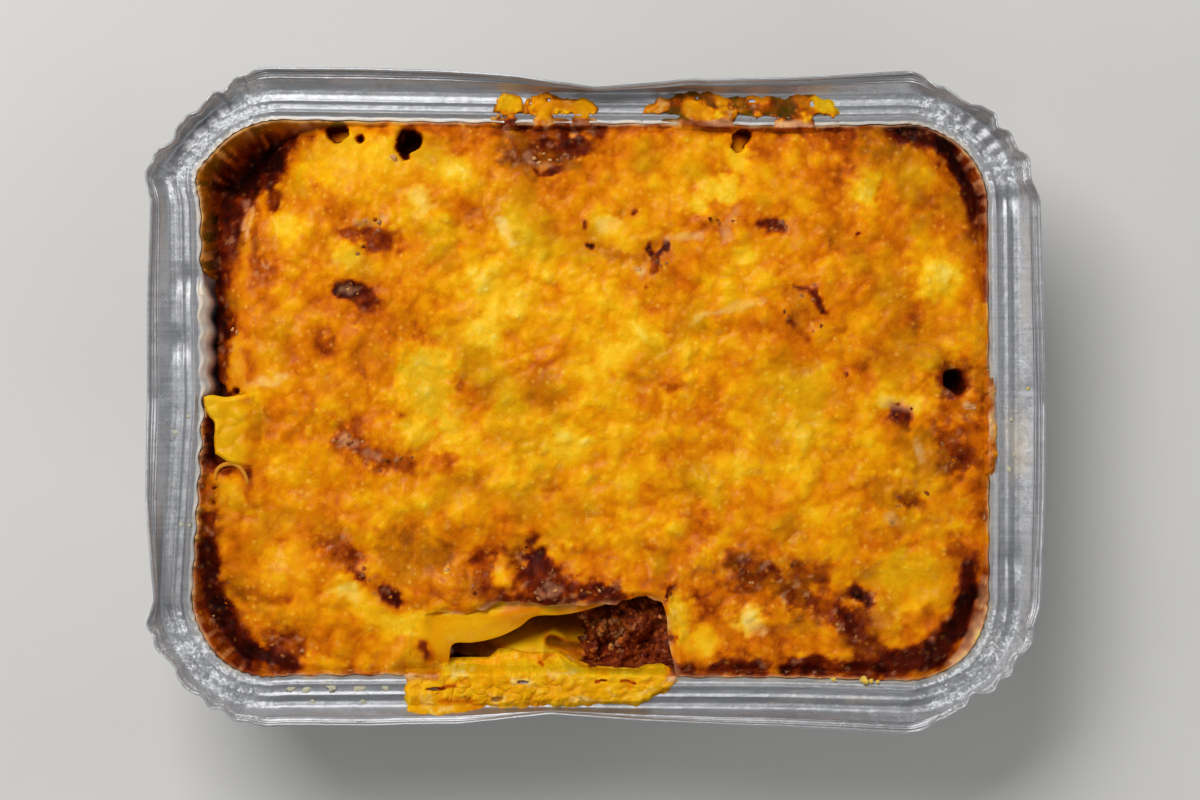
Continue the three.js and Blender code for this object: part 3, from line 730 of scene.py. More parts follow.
# Holes beside the wall: place in the picture, radius in millimetres, depth
PITS = [
    (407, 144, 2.4, 9), (338, 131, 2.2, 6), (741, 136, 1.6, 7), (738, 146, 1.2, 6), (956, 384, 1.9, 8),
    (952, 376, 1.4, 6), (360, 139, 0.9, 3), (215, 391, 1.5, 6), (235, 391, 0.8, 2.2), (218, 460, 1.4, 6),
    (209, 438, 1.2, 5), (232, 474, 1.4, 1.3), (213, 488, 0.6, 1.8), (213, 503, 0.6, 1.8),
]


def pits(x, y):
    """How deep the holes go: a steep rounded drop inside each hole's radius, with a ragged edge."""
    ragged = 1 + 0.5 * fractal(x, y, 2.6, 3, 401)
    depth = np.zeros(x.shape)
    for px, py, radius, drop in PITS:
        at_x, at_y = from_picture(px, py)
        reach = np.hypot(x - at_x, y - at_y) / (radius * ragged)
        depth = np.maximum(depth, drop * smooth((1.35 - reach) / 0.75))
    return depth


def tab_bed(x, y):
    """1 where the bare corner of the sheet lies at the left wall, and 0 away from it."""
    return smooth((1.2 - np.hypot((x + 78.2) / 6.6, (y + 6.2) / 7.0)) / 0.35)


def left_strands(x, y):
    """1 in the trough along the left wall, where the cheese is pulled into strands along it."""
    reach = smooth((-70.5 - x - 4 * fractal(x, y, 9, 2, 431)) / 5)
    return reach * smooth((y - 1) / 4) * smooth((50 - y) / 8)


def line_distance(points, x, y):
    """Distance in plan from a smooth line through points, to the nearest of many places on it."""
    far = np.full(x.shape, FAR)
    for at_x, at_y in rounded_line(points, 110):
        far = np.minimum(far, np.hypot(x - at_x, y - at_y))
    return far


def crust_lumps(x, y):
    """The lumps of cheese at three sizes, each as its hump and its own random number, on a bent grid."""
    wx, wy = bent(x, y, 1.8, 8, 2, 441)
    return blobs(wx, wy, 7.2, 461), blobs(wx, wy, 3.8, 471), blobs(x + 0.3 * wx, y + 0.3 * wy, 2.4, 481, 0.3)


def brown_patches(x, y):
    """1 in the brown patches of the crust, where mince comes through and the surface is crumbly."""
    share = np.zeros(x.shape)
    for mark in MARKS:
        if mark[5] > 0.7 and mark[4] > 1.4:
            share = np.maximum(share, stroke(mark, x, y, 1.0))
    return share


# Single lumps of cheese: place in the picture, reach and rise in millimetres
CRUST_HUMPS = [
    (230, 492, 2.2, 3.4, 1.5), (240, 362, 2.6, 4.5, 1.4), (252, 215, 1.6, 5.0, 0.9),
    (246, 285, 1.8, 4.0, 0.9), (266, 240, 2.4, 3.0, 0.7), (300, 232, 3.4, 2.6, 0.8),
    (455, 172, 4.0, 3.0, 0.8), (505, 580, 2.6, 2.4, 0.9),
]


def crust_relief(x, y):
    """What the cheese adds to the food's broad height: folds of melted cheese, lumps of three sizes, pulled
    strands at the left, crumbly brown patches, and the smooth swells, where the lumps fade."""
    calm = smoothness(x, y)
    (big, _), (mid, _), (fine, _) = crust_lumps(x, y)
    folds = 1 - np.abs(fractal(x, y, 9, 3, 491)) * 2.2
    strand = 1 - np.abs(value_noise(x / 1.5 + 0.5 * fractal(x, y, 7, 2, 495), y / 13, 499))
    relief = 0.9 * fractal(x, y, 14, 3, 500) + 0.16 * folds
    relief = relief + (1 - 0.45 * calm) * (1.3 * big + 0.75 * mid) + 0.5 * fractal(x, y, 6, 2, 507)
    relief = relief + (1 - 0.6 * calm) * (0.42 * fine + 0.1 * fractal(x, y, 1.8, 2, 503)) - 1.0
    crumbly = brown_patches(x, y)
    relief = relief + crumbly * (0.9 * fractal(x, y, 2.6, 3, 505) - 0.45)
    for hump in CRUST_HUMPS:
        relief = relief + picture_swell(hump, x, y)
    pulled = left_strands(x, y)
    return relief * (1 - 0.5 * pulled) + pulled * (0.75 * strand - 0.6)


# Smooth swells of melted cheese, where there are few lumps: place in the picture, reach, and strength
SMOOTH_PLACES = [
    (505, 182, 9, 4, 1.0), (350, 165, 8, 5, 0.8), (800, 400, 8, 6, 0.8), (920, 575, 8, 7, 0.7),
    (280, 565, 6, 6, 0.9), (690, 625, 5, 6, 0.8), (395, 618, 10, 5, 1.0), (640, 180, 8, 5, 0.5),
    (560, 430, 8, 6, 0.5), (735, 500, 6, 5, 0.5), (460, 500, 9, 6, 0.5), (900, 300, 7, 6, 0.5),
]


def smoothness(x, y):
    """1 in the smooth swells and 0 where the cheese is lumpy, with a broad random change."""
    calm = 0.25 + 0.45 * fractal(x, y, 18, 2, 511)
    for place in SMOOTH_PLACES:
        calm = np.maximum(calm, picture_swell(place, x, y))
    return np.clip(calm, 0, 1)


FILM = 1.6  # how far the baked film lies over the wall, upwards


def sunk_height(x, y):
    """The broad height of the food at a place or a little further in, whichever is lower."""
    return np.minimum(food_height(x, y), food_height(0.94 * x, 0.92 * y))


def film_zone(x, y):
    """1 where the food has sunk and a film of baked cheese is left on the wall above it."""
    return smooth((LIP_Z + 0.6 - sunk_height(x, y)) / 1.0) * (1 - bare_wall(x, y))


def notch_end(x, y):
    """1 at the left end of the torn gap, where the cheese and the bare sheet run together."""
    return smooth((-34.2 - x + 0.8 * fractal(x, y, 4, 2, 541)) / 3)


def crust_height(x, y):
    """The crust's upper face: the food's height and the cheese's relief, less the holes, the bed of the bare
    sheet, and the rounding of the broken edge, and above it the film on the wall."""
    relief = crust_relief(x, y)
    edge = 1.5 * (1 - notch_end(x, y)) * (1 - smooth(line_distance(CRUST_NOTCH, x, y) / 1.6))
    sunk = 2.4 * tab_bed(x, y)
    food = food_height(x, y) + relief - pits(x, y) - sunk - edge
    wall, _ = wall_height(x, y)
    film = np.minimum(wall + FILM, LIP_Z - 0.3) - 7 * (1 - film_zone(x, y))
    return np.logaddexp(2.5 * food, 2.5 * film) / 2.5


# Colour of the crust, from 0, cream, over yellow, gold, orange and brown to 1, burnt. Each mark is a stroke
# in the picture with its two ends, half its width in millimetres, its tone and its strength. The broad marks
# are painted first.
PALE, BURNT = 0.07, 0.98
BROAD_MARKS = [
    (240, 400, 300, 570, 11, 0.46, 0.6), (300, 300, 420, 360, 9, 0.42, 0.5),
    (450, 550, 640, 590, 7, 0.52, 0.6), (640, 400, 700, 445, 8, 0.47, 0.7),
    (735, 600, 900, 640, 8, 0.48, 0.6), (700, 200, 760, 240, 7, 0.46, 0.5),
    (900, 200, 970, 330, 7, 0.46, 0.6), (500, 300, 600, 330, 12, 0.26, 0.7),
    (480, 430, 620, 460, 10, 0.26, 0.6), (300, 150, 480, 200, 9, 0.3, 0.4),
    (780, 400, 860, 500, 11, 0.3, 0.6), (860, 560, 940, 600, 8, 0.28, 0.6),
    (620, 150, 690, 200, 8, 0.36, 0.4), (745, 150, 840, 200, 8, 0.52, 0.5),
    (880, 150, 950, 200, 8, 0.54, 0.6), (880, 415, 970, 470, 8, 0.55, 0.5),
    (885, 510, 960, 560, 8, 0.52, 0.6), (730, 600, 850, 650, 8, 0.62, 0.6),
    (340, 440, 440, 470, 8, 0.42, 0.5), (520, 360, 560, 410, 5, 0.46, 0.6),
]
MARKS = [
    (303, 138, 262, 160, 3.2, BURNT, 0.95), (262, 160, 225, 195, 4.4, 1.0, 0.95),
    (225, 195, 222, 225, 3.0, 0.92, 0.9), (240, 205, 236, 232, 2.4, 0.84, 0.8),
    (262, 176, 272, 200, 1.6, 0.86, 0.8), (214, 225, 215, 395, 1.5, 0.87, 0.85),
    (227, 225, 224, 290, 1.9, 0.83, 0.8), (225, 318, 224, 340, 3.0, 0.9, 0.85),
    (220, 345, 219, 388, 1.9, 0.84, 0.8), (246, 212, 246, 300, 1.6, 0.42, 0.8),
    (256, 210, 252, 255, 0.8, 0.72, 0.7), (240, 345, 240, 378, 2.6, 0.34, 0.8),
    (262, 266, 266, 274, 2.2, 0.72, 0.7), (285, 231, 290, 231, 2.6, 0.2, 0.7),
    (236, 300, 250, 330, 2.4, 0.48, 0.6), (268, 128, 326, 126, 1.6, 0.7, 0.7),
    (354, 126, 395, 126, 1.3, 0.5, 0.6), (420, 127, 500, 126, 1.2, 0.62, 0.7),
    (604, 127, 730, 127, 1.5, 0.62, 0.75), (752, 127, 900, 128, 1.7, 0.66, 0.75),
    (820, 134, 850, 140, 2.6, 0.7, 0.7), (350, 232, 385, 238, 3.0, 0.76, 0.9),
    (340, 290, 363, 293, 1.9, 0.86, 0.95), (258, 285, 262, 300, 3, 0.56, 0.6),
    (285, 225, 286, 226, 3, PALE, 0.7), (345, 255, 346, 255, 3, PALE, 0.7),
    (418, 195, 418, 205, 2.6, PALE, 0.6), (455, 172, 456, 172, 3, PALE, 0.6),
    (460, 150, 461, 151, 1.5, 0.6, 0.7), (310, 165, 395, 160, 5, 0.2, 0.7),
    (500, 128, 600, 129, 1.6, 0.76, 0.8), (518, 150, 562, 148, 4.2, 0.74, 0.9),
    (566, 138, 582, 148, 1.8, 0.86, 0.9), (538, 170, 558, 173, 1.0, 0.86, 0.85),
    (568, 180, 572, 180, 2.5, 0.58, 0.6), (503, 225, 510, 240, 1.2, 0.08, 0.7),
    (583, 225, 583, 226, 0.8, 0.86, 0.9), (590, 247, 591, 247, 0.9, 0.92, 0.95),
    (635, 210, 635, 211, 0.6, 0.9, 0.9), (650, 285, 650, 286, 0.7, 0.86, 0.8),
    # The second stroke here is a painted shadow along the edge of a raised piece.
    (608, 225, 609, 225, 2.6, PALE, 0.6), (610, 255, 640, 256, 1.0, 0.64, 0.7),
    (645, 246, 655, 258, 0.8, 0.88, 0.95), (666, 246, 655, 258, 0.9, 0.86, 0.95),
    (655, 258, 655, 270, 1.1, 0.82, 0.9), (700, 222, 728, 222, 3.2, 0.62, 0.8),
    (715, 187, 716, 188, 2.6, PALE, 0.6), (700, 205, 700, 206, 2.2, PALE, 0.6),
    (710, 160, 711, 161, 2.0, 0.58, 0.7), (896, 128, 945, 140, 2.3, 0.95, 0.9),
    (945, 140, 974, 178, 2.8, 0.99, 0.95), (974, 178, 984, 240, 2.3, 0.96, 0.9),
    (984, 240, 985, 300, 1.2, 0.78, 0.8), (840, 137, 842, 137, 2.6, 0.68, 0.8),
    (845, 142, 880, 145, 3.6, 0.62, 0.7), (835, 172, 850, 172, 3.0, 0.6, 0.7),
    (868, 190, 869, 190, 3, PALE, 0.7), (740, 150, 740, 165, 2.5, PALE, 0.6),
    (725, 190, 726, 190, 3, PALE, 0.6), (742, 255, 743, 255, 3, PALE, 0.6),
    (935, 275, 950, 275, 4.2, PALE, 0.7), (762, 226, 782, 227, 1.5, 0.84, 0.9),
    (798, 286, 815, 291, 0.8, 0.86, 0.95), (815, 291, 824, 312, 0.9, 0.86, 0.95),
    (790, 322, 805, 338, 1.0, 0.82, 0.9), (945, 225, 962, 250, 3.6, 0.58, 0.7),
    (859, 235, 859, 236, 0.5, 0.95, 0.95), (978, 235, 972, 300, 3.0, 0.6, 0.7),
    (257, 432, 300, 432, 3.2, 0.58, 0.7), (226, 470, 244, 474, 1.3, 0.8, 0.85),
    (246, 470, 248, 500, 1.1, 0.72, 0.8), (226, 486, 234, 500, 2.4, 0.3, 0.8),
    (207, 400, 209, 456, 2.2, 0.86, 0.9), (208, 490, 212, 510, 1.8, 0.66, 0.8),
    (368, 303, 372, 306, 1.8, 0.8, 0.9), (380, 312, 400, 330, 2.8, 0.6, 0.7),
    (378, 352, 384, 358, 3.4, 0.56, 0.7), (425, 365, 435, 395, 4.6, 0.1, 0.7),
    (403, 417, 404, 417, 0.7, 0.8, 0.9), (460, 387, 461, 388, 1.0, 0.74, 0.8),
    (345, 438, 356, 442, 3.4, 0.72, 0.8), (370, 455, 405, 465, 2.4, 0.74, 0.85),
    (445, 463, 450, 467, 2.4, 0.66, 0.8), (455, 430, 456, 431, 3, PALE, 0.5),
    (415, 430, 416, 431, 3, PALE, 0.5), (535, 370, 535, 390, 2.8, 0.6, 0.7),
    (565, 347, 566, 348, 2.4, 0.5, 0.6), (485, 393, 486, 397, 3, 0.56, 0.6),
    (670, 383, 671, 384, 1.9, 0.64, 0.8), (495, 300, 512, 303, 3.6, 0.1, 0.7),
    (483, 330, 484, 331, 2.8, PALE, 0.6), (560, 445, 561, 446, 3.6, PALE, 0.6),
    (605, 357, 606, 358, 2.8, PALE, 0.5), (780, 348, 800, 351, 4.0, 0.54, 0.7),
    (880, 400, 915, 406, 1.8, PALE, 0.7), (900, 415, 901, 416, 2.4, 0.84, 0.9),
    (895, 440, 896, 441, 2.8, 0.56, 0.7), (953, 380, 954, 382, 3.6, 0.86, 0.9),
    (948, 440, 952, 462, 3.6, 0.74, 0.85), (970, 428, 972, 460, 2.4, 0.68, 0.8),
    (847, 375, 848, 375, 0.6, 0.88, 0.9), (985, 380, 986, 470, 2.2, 0.62, 0.7),
    (208, 520, 212, 545, 2.2, 0.86, 0.85), (206, 552, 214, 610, 2.6, 0.95, 0.9),
    (214, 610, 240, 650, 3.2, BURNT, 0.9), (240, 654, 292, 663, 2.2, 0.95, 0.9),
    (274, 642, 300, 648, 2.6, 0.78, 0.75), (245, 535, 250, 590, 5.0, 0.56, 0.7),
    (280, 562, 281, 568, 4.2, 0.3, 0.85), (225, 590, 256, 594, 1.3, 0.7, 0.7),
    (270, 600, 290, 601, 1.3, 0.68, 0.7), (330, 542, 338, 548, 3.2, 0.72, 0.85),
    (346, 556, 352, 562, 2.4, 0.78, 0.85), (358, 574, 359, 577, 1.5, 0.88, 0.9),
    (384, 592, 396, 599, 1.8, 0.86, 0.9), (398, 622, 436, 627, 2.6, 0.2, 0.85),
    (385, 655, 440, 664, 3, 0.45, 0.6), (425, 646, 431, 658, 1.0, 0.76, 0.9),
    (405, 548, 430, 556, 4.6, 0.62, 0.8), (447, 569, 448, 570, 0.9, 0.06, 0.9),
    (342, 590, 350, 594, 2.0, 0.08, 0.8), (350, 598, 392, 622, 2.6, 0.2, 0.8),
    (485, 566, 500, 596, 3.6, 0.74, 0.85), (504, 573, 507, 578, 2.6, 0.24, 0.9),
    (535, 562, 556, 596, 4.6, 0.86, 0.9), (588, 590, 616, 594, 2.4, 0.84, 0.9),
    (671, 594, 673, 640, 1.5, 0.84, 0.9), (680, 606, 680, 640, 2.4, 0.16, 0.8),
    (674, 667, 690, 670, 1.5, 0.74, 0.85), (685, 650, 686, 651, 2.8, 0.5, 0.6),
    (705, 640, 706, 641, 2.6, PALE, 0.6), (735, 562, 770, 577, 3.2, 0.78, 0.85),
    (770, 577, 800, 600, 3.4, 0.76, 0.85), (800, 600, 850, 622, 3.0, 0.74, 0.85),
    (850, 622, 872, 652, 3.2, 0.8, 0.85), (748, 620, 753, 623, 3.0, 0.03, 0.85),
    (905, 568, 930, 585, 4.6, 0.22, 0.7), (860, 594, 868, 600, 2.0, 0.84, 0.9),
    (913, 620, 922, 622, 2.6, 0.58, 0.7), (765, 637, 766, 638, 2.8, 0.6, 0.7),
    (968, 570, 972, 600, 2.2, 0.94, 0.9), (972, 600, 955, 632, 2.8, 0.98, 0.95),
    (955, 632, 930, 655, 3.0, 0.97, 0.95), (930, 655, 888, 666, 2.6, 0.94, 0.9),
    (718, 668, 762, 669, 1.7, 0.84, 0.85), (790, 668, 890, 669, 1.9, 0.86, 0.85),
    (902, 498, 909, 503, 2.0, 0.8, 0.85), (880, 537, 881, 539, 2.8, 0.48, 0.7),
    (958, 546, 962, 553, 2.4, 0.7, 0.8), (800, 575, 815, 580, 2.4, 0.74, 0.7),
]

# Olive tint where sauce and herbs show through, one stroke of it a painted shadow, and cream where fat has
# set, some strokes of it painted highlights on lit ridges and painted glints: a stroke's two ends, half its
# width and its strength
OLIVE_MARKS = [
    (515, 152, 565, 150, 4.2, 0.75), (880, 155, 905, 160, 3.4, 0.7), (425, 365, 435, 395, 4.2, 0.55),
    (405, 548, 430, 556, 5.0, 0.7), (800, 385, 815, 415, 4.2, 0.6), (890, 365, 893, 378, 4.0, 0.6),
    (915, 450, 935, 462, 4.6, 0.8), (890, 498, 900, 516, 4.0, 0.7), (510, 436, 530, 445, 3.4, 0.5),
    (905, 568, 930, 585, 5.0, 0.45), (445, 255, 446, 256, 2.8, 0.55), (225, 495, 226, 500, 3.0, 0.7),
    # The middle stroke here is the olive of a painted shadow along the edge of a raised piece.
    (740, 562, 800, 590, 3.6, 0.5), (610, 255, 640, 256, 1.6, 0.6), (680, 606, 680, 640, 2.6, 0.4),
    (618, 212, 619, 213, 1.2, 0.6), (318, 150, 340, 140, 3.0, 0.45), (860, 600, 880, 640, 3.0, 0.5),
]
CREAM_MARKS = [
    # The third stroke here, and the first at 343 across below, are painted highlights: a lit ridge and a
    # glint.
    (418, 195, 418, 205, 2.0, 0.4), (500, 222, 511, 242, 0.8, 0.7), (355, 221, 385, 222, 0.8, 0.5),
    (748, 620, 753, 623, 2.4, 0.5), (342, 590, 350, 594, 1.6, 0.4), (447, 569, 448, 570, 0.8, 0.8),
    (242, 200, 240, 225, 0.5, 0.5), (248, 205, 243, 240, 0.4, 0.5), (550, 586, 556, 594, 1.0, 0.5),
    (343, 288, 352, 291, 0.7, 0.4), (530, 156, 545, 164, 0.9, 0.4), (636, 268, 643, 272, 0.9, 0.5),
    (345, 437, 352, 441, 1.0, 0.4), (885, 518, 895, 522, 1.2, 0.4), (966, 405, 974, 408, 0.7, 0.7),
    (392, 157, 396, 159, 0.8, 0.7), (880, 400, 915, 406, 0.9, 0.35), (250, 386, 285, 380, 0.8, 0.45),
    (370, 452, 380, 458, 0.9, 0.4), (612, 222, 606, 226, 1.2, 0.45), (915, 440, 925, 462, 0.7, 0.45),
    (668, 240, 700, 236, 0.6, 0.4), (690, 322, 760, 300, 0.6, 0.35), (725, 236, 735, 210, 1.0, 0.35),
]


def stroke(mark, x, y, ragged):
    """1 within half the stroke's width of the straight line between its ends, falling to 0 outside."""
    (ax, ay), (bx, by) = from_picture(*mark[0:2]), from_picture(*mark[2:4])
    long = max((bx - ax) ** 2 + (by - ay) ** 2, 1e-6)
    t = np.clip(((x - ax) * (bx - ax) + (y - ay) * (by - ay)) / long, 0, 1)
    far = np.hypot(x - ax - t * (bx - ax), y - ay - t * (by - ay))
    return smooth((1.55 - far / (mark[4] * ragged)) / 1.1)


def painted(tone, marks, x, y):
    """The tone with marks painted over it, one after another."""
    for mark in marks:
        tone = lerp(tone, mark[5], mark[6] * stroke(mark, x, y, 1.0))
    return tone


def crust_masks(x, y):
    """Tone, olive, cream and oil over the crust. Valleys are more orange and tops yellower, partly the
    cheese's own colour and partly painted shade in the valleys and painted light on the tops; every lump has
    a tone of its own, the rim of the crust is browner, and the marks are painted over that with ragged
    edges.
    The film on the wall above sunken food is darker, and set fat lies on it and along the lip."""
    wx, wy = bent(x, y, 1.3, 3.6, 3, 601)
    broken = fractal(x, y, 1.7, 3, 621)
    ragged = np.clip(1 + 0.75 * broken + 0.3 * fractal(x, y, 5, 2, 625), 0.2, 2.2)
    relief = crust_relief(x, y)
    (_, big_own), (mid, mid_own), (fine, _) = crust_lumps(x, y)
    inside = from_wall(x, y)
    # Lump tops are painted yellower and valleys more orange by height, here and in the marks below: partly
    # the cheese's own colour, partly painted light on the tops and painted shade in the valleys.
    own = 0.09 * (big_own - 0.5) + 0.12 * (mid_own - 0.5) - 0.1 * mid - 0.05 * fine
    own = own + 0.14 * fractal(x, y, 6, 2, 635)
    tone = 0.452 + 0.13 * fractal(x, y, 12, 3, 631) - 0.06 * relief + own + 0.03 * broken
    tone = tone + 0.24 * (1 - smooth((inside - 0.5) / 3.6)) * (0.7 + 0.6 * fractal(x, y, 9, 2, 651))
    far_x, far_y = bent(x, y, 4, 9, 2, 661)
    for mark in BROAD_MARKS:
        broad = mark[5] - 0.08 * relief + own + 0.05 * broken
        tone = lerp(tone, broad, mark[6] * stroke(mark, far_x, far_y, ragged))
    tone = lerp(tone, 0.72 + 0.3 * fractal(x * 2.2, y, 5, 3, 681), 0.85 * left_strands(x, y))
    for mark in MARKS:
        wide = (*mark[:4], 1.9 * mark[4] + 0.6)
        amber = np.maximum(tone, 0.54 + 0.1 * broken)
        tone = lerp(tone, amber, 0.5 * (mark[5] > 0.7) * stroke(wide, wx, wy, ragged))
    grain = 0.17 * fractal(x, y, 2.2, 3, 701)
    firm = 0.5 + 0.5 * ragged
    for mark in MARKS:
        depth = mark[5] + grain * (mark[5] < 0.94) - 0.05 * relief * (mark[5] > 0.5)
        slim = 0.8 if mark[4] < 1.3 and mark[5] > 0.8 else 1
        strength = min(1, mark[6] * (1.25 if mark[5] < 0.2 else 1))
        tone = lerp(tone, depth, strength * stroke(mark, wx, wy, slim * (firm if mark[5] > 0.9 else ragged)))
    wall, s = wall_height(x, y)
    filmed = smooth((wall + FILM - food_height(x, y) - relief + 0.8) / 1.6) * film_zone(x, y)
    pleats = fractal(s * 1.5, wall * 0.12, 1.2, 2, 705)
    high = smooth((wall - LIP_Z + 9) / 9)
    pale = smooth((x - 58) / 14) * smooth((-34 - y) / 12)
    pale = pale + 0.4 * smooth((y - 34) / 12) * smooth((x - 40) / 14)
    deep = smooth((LIP_Z - 1.6 - sunk_height(x, y)) / 2.4)
    sunk = smooth((-40 - x) / 10) * smooth((y - 20) / 10)
    film_tone = 0.84 - 0.14 * high - (0.12 + 0.14 * sunk) * pleats + (0.12 + 0.18 * pale) * broken
    tone = lerp(tone, lerp(tone + 0.05, film_tone, deep), filmed)
    # Holes are painted near black: painted shade in the holes.
    tone = np.maximum(tone, 0.93 * smooth(pits(x, y) / 2.5))
    olive = 0.8 * smooth(fractal(x, y, 9, 3, 711) * 1.6 - 0.05) + 0.16 * smooth(fractal(x, y, 3, 2, 713) * 2)
    for mark in OLIVE_MARKS:
        olive = np.maximum(olive, (mark[5] + 0.4 * broken) * stroke(mark, wx, wy, ragged))
    olive = np.maximum(olive * (1 - smooth((tone - 0.6) / 0.25)), filmed * high * sunk)
    cream = 0.16 * smooth(fractal(x, y, 2.4, 3, 715) * 3 - 1.3) * (tone < 0.5)
    for mark in CREAM_MARKS:
        cream = np.maximum(cream, mark[5] * (0.75 + 0.9 * broken) * stroke(mark, wx, wy, ragged))
    meat = brown_patches(x, y) * (1 - smooth((tone - 0.86) / 0.12))
    # Pale grains in the brown patches: crumbs of fat, and painted glints of the wet mince.
    cream = np.maximum(cream, 0.34 * meat * smooth(fractal(x, y, 1.5, 2, 718) * 3.2 - 1.2))
    fatty = smooth(pleats * 3 - 0.5 + 1.9 * pale + broken)
    cream = np.maximum(cream, (0.35 + 0.6 * pale) * deep * filmed * high * fatty)
    fatty = smooth(0.7 + 1.2 * fractal(x, y, 4, 2, 716))
    cream = np.maximum(cream, 0.8 * fatty * smooth((wall - LIP_Z + 2.4) / 1.8) * (1 - bare_wall(x, y)))
    edge = np.exp(-((line_distance(CRUST_NOTCH, x, y) / 0.7) ** 2))
    edge = edge * smooth((-41 - y) / 2) * smooth((x + 34) / 3)
    cream = np.maximum(cream, 0.55 * edge * smooth(fractal(x, y, 3, 2, 719) * 3 + 0.3))
    oil = smooth(0.35 + 0.9 * fractal(x, y, 5, 3, 721))
    masks = {"tone": tone, "olive": olive, "cream": cream, "oil": oil}
    return {mask: np.clip(values, 0, 1) for mask, values in masks.items()}


def lowest_near(values, reach):
    """The lowest value within some cells of each cell of a grid."""
    padded = np.pad(values, reach, mode="edge")
    rows, columns = values.shape
    steps = range(2 * reach + 1)
    return np.min([padded[i:i + rows, j:j + columns] for i in steps for j in steps], axis=0)


def make_crust():
    """The baked cheese: its upper face, and a coarse lower face on the upper pasta sheet."""
    u, v = np.linspace(0, 1, 353), np.linspace(0, 1, 237)
    plan = tray_plan(crust_height, u, v, notch=torn(CRUST_NOTCH, 240, 1.1))
    x, y = plan[..., 0], plan[..., 1]
    height = crust_height(x, y)
    under = np.minimum(upper_sheet_top(x, y) + GAP, lowest_near(height, 4) - 0.5)
    return rides(layer("crust", plan, height, under, crust_masks(x, y)), "baked_cheese", "cheese_crust")


# Sheets of pasta and the meat between them


GAP_RIGHT = 17.5  # the gap's right end


def in_gap(x, y):
    """1 inside the torn gap in front of the lifted sheet's free edge, 0 outside it."""
    edge = rounded_line(SHEET_NOTCH, 120)
    back = np.interp(x, edge[:, 0], np.maximum.accumulate(edge[:, 1]))
    back = np.where((x < edge[0, 0]) | (x > GAP_RIGHT), -FAR, back)
    return smooth((back - y + 0.3) / 1.0)


def lifted_height(x, y):
    """The upper sheet's upper face: in front of the crust's broken edge it swells up and rolls down at its
    free edge, where it hangs over the gap."""
    free = line_distance(SHEET_NOTCH, x, y)
    band = smooth((-43.5 - y) / 3) * smooth((x + 47) / 3) * smooth((3 - x) / 4)
    roll = 1.6 * (1 - np.sqrt(smooth(free / 4.5))) * band
    uneven = 0.35 * fractal(x, y, 7, 2, 801) + 0.12 * fractal(x, y, 2.4, 2, 811)
    ends = 1.1 * smooth((-53 - y) / 4)
    return upper_sheet_top(x, y) + band * (1.5 + uneven - ends) - roll


def make_upper_sheet():
    """The upper sheet: smooth and thick, with points closest together round the gap."""
    u, v = shares_near(0.33, 0.16, 233, 4), shares_near(0.0, 0.16, 133, 4)
    plan = tray_plan(upper_sheet_top, u, v, 0.3, rounded_line(SHEET_NOTCH, 200))
    x, y = plan[..., 0], plan[..., 1]
    under_crust = np.where(in_notch(x, y), 0, np.minimum(line_distance(CRUST_NOTCH, x, y), 4))
    flush = lerp(lifted_height(x, y), crust_height(x, y) + 0.05 - 0.3 * under_crust, notch_end(x, y))
    beside = (line_distance(CRUST_NOTCH, x, y) < 0.9) & (x < -34)
    height = np.minimum(flush, np.where(in_notch(x, y) | beside, FAR, lowest_crust(x, y)))
    piece = layer("upper_sheet", plan, height, height - SHEET, sheet_masks(x, y))
    return rides(piece, "cooked_pasta", "pasta_sheet_upper")


def torn(points, count, depth):
    """A smooth line through points, moved forwards and back by random amounts up to a depth along its rear
    part, as a torn edge is. Its ends stay smooth, so that the grid doesn't fold there."""
    line = rounded_line(points, count)
    x, y = line.T
    rear = smooth((y + 49) / 3)
    return np.column_stack([x, y + depth * rear * fractal(x, y, 2.6, 3, 1511)])


def inside_tray(x, y, top, under):
    """The heights of a piece's two faces, kept above the tray's sloping wall."""
    wall, _ = wall_height(x, y)
    top = np.maximum(top, wall + 0.45)
    return top, np.minimum(np.maximum(under, wall + 0.3), top - 0.12)


def in_notch(x, y):
    """True in front of the crust's broken edge, where nothing lies on the sheet."""
    edge = rounded_line(CRUST_NOTCH, 120)
    back = np.interp(x, edge[:, 0], edge[:, 1])
    return (x > edge[0, 0]) & (x < edge[-1, 0]) & (y < back + 0.4)


def lowest_crust(x, y):
    """A height that stays under the crust's upper face, its holes left out."""
    deep = pits(x, y)
    return food_height(x, y) - 3 - 1.6 * deep - 1.5 * smooth(deep / 2)


# Marks on the bare band of the upper sheet, and on the lower sheet in the gap, where some dark strokes are
# painted shade
SHEET_MARKS = [
    (424, 645, 430, 658, 1.1, 0.72, 0.9), (405, 665, 440, 668, 2.6, 0.42, 0.7),
    (402, 640, 412, 655, 2.4, 0.46, 0.6), (505, 608, 532, 608, 1.7, 0.5, 0.8),
    (470, 612, 500, 606, 1.2, 0.16, 0.7), (455, 637, 500, 636, 1.3, 0.2, 0.7),
    (548, 611, 576, 613, 1.4, 0.2, 0.6), (515, 622, 532, 614, 1.0, 0.36, 0.7),
    (560, 609, 600, 606, 1.0, 0.5, 0.6),
]
LOWER_SHEET_MARKS = [
    (541, 655, 552, 636, 0.8, 0.08, 0.8), (552, 636, 562, 641, 0.7, 0.16, 0.7),
    # Both strokes here are painted shade: under the fold, and in the dark slot at the left.
    (550, 643, 580, 652, 1.2, 0.8, 0.9), (455, 640, 490, 658, 3.2, 0.82, 0.95),
    # The second stroke here is painted shade under the lifted sheet's edge.
    (500, 640, 520, 628, 2.0, 0.5, 0.5), (536, 617, 578, 620, 2.2, 0.74, 0.7),
    (570, 660, 600, 662, 1.6, 0.6, 0.7),
]


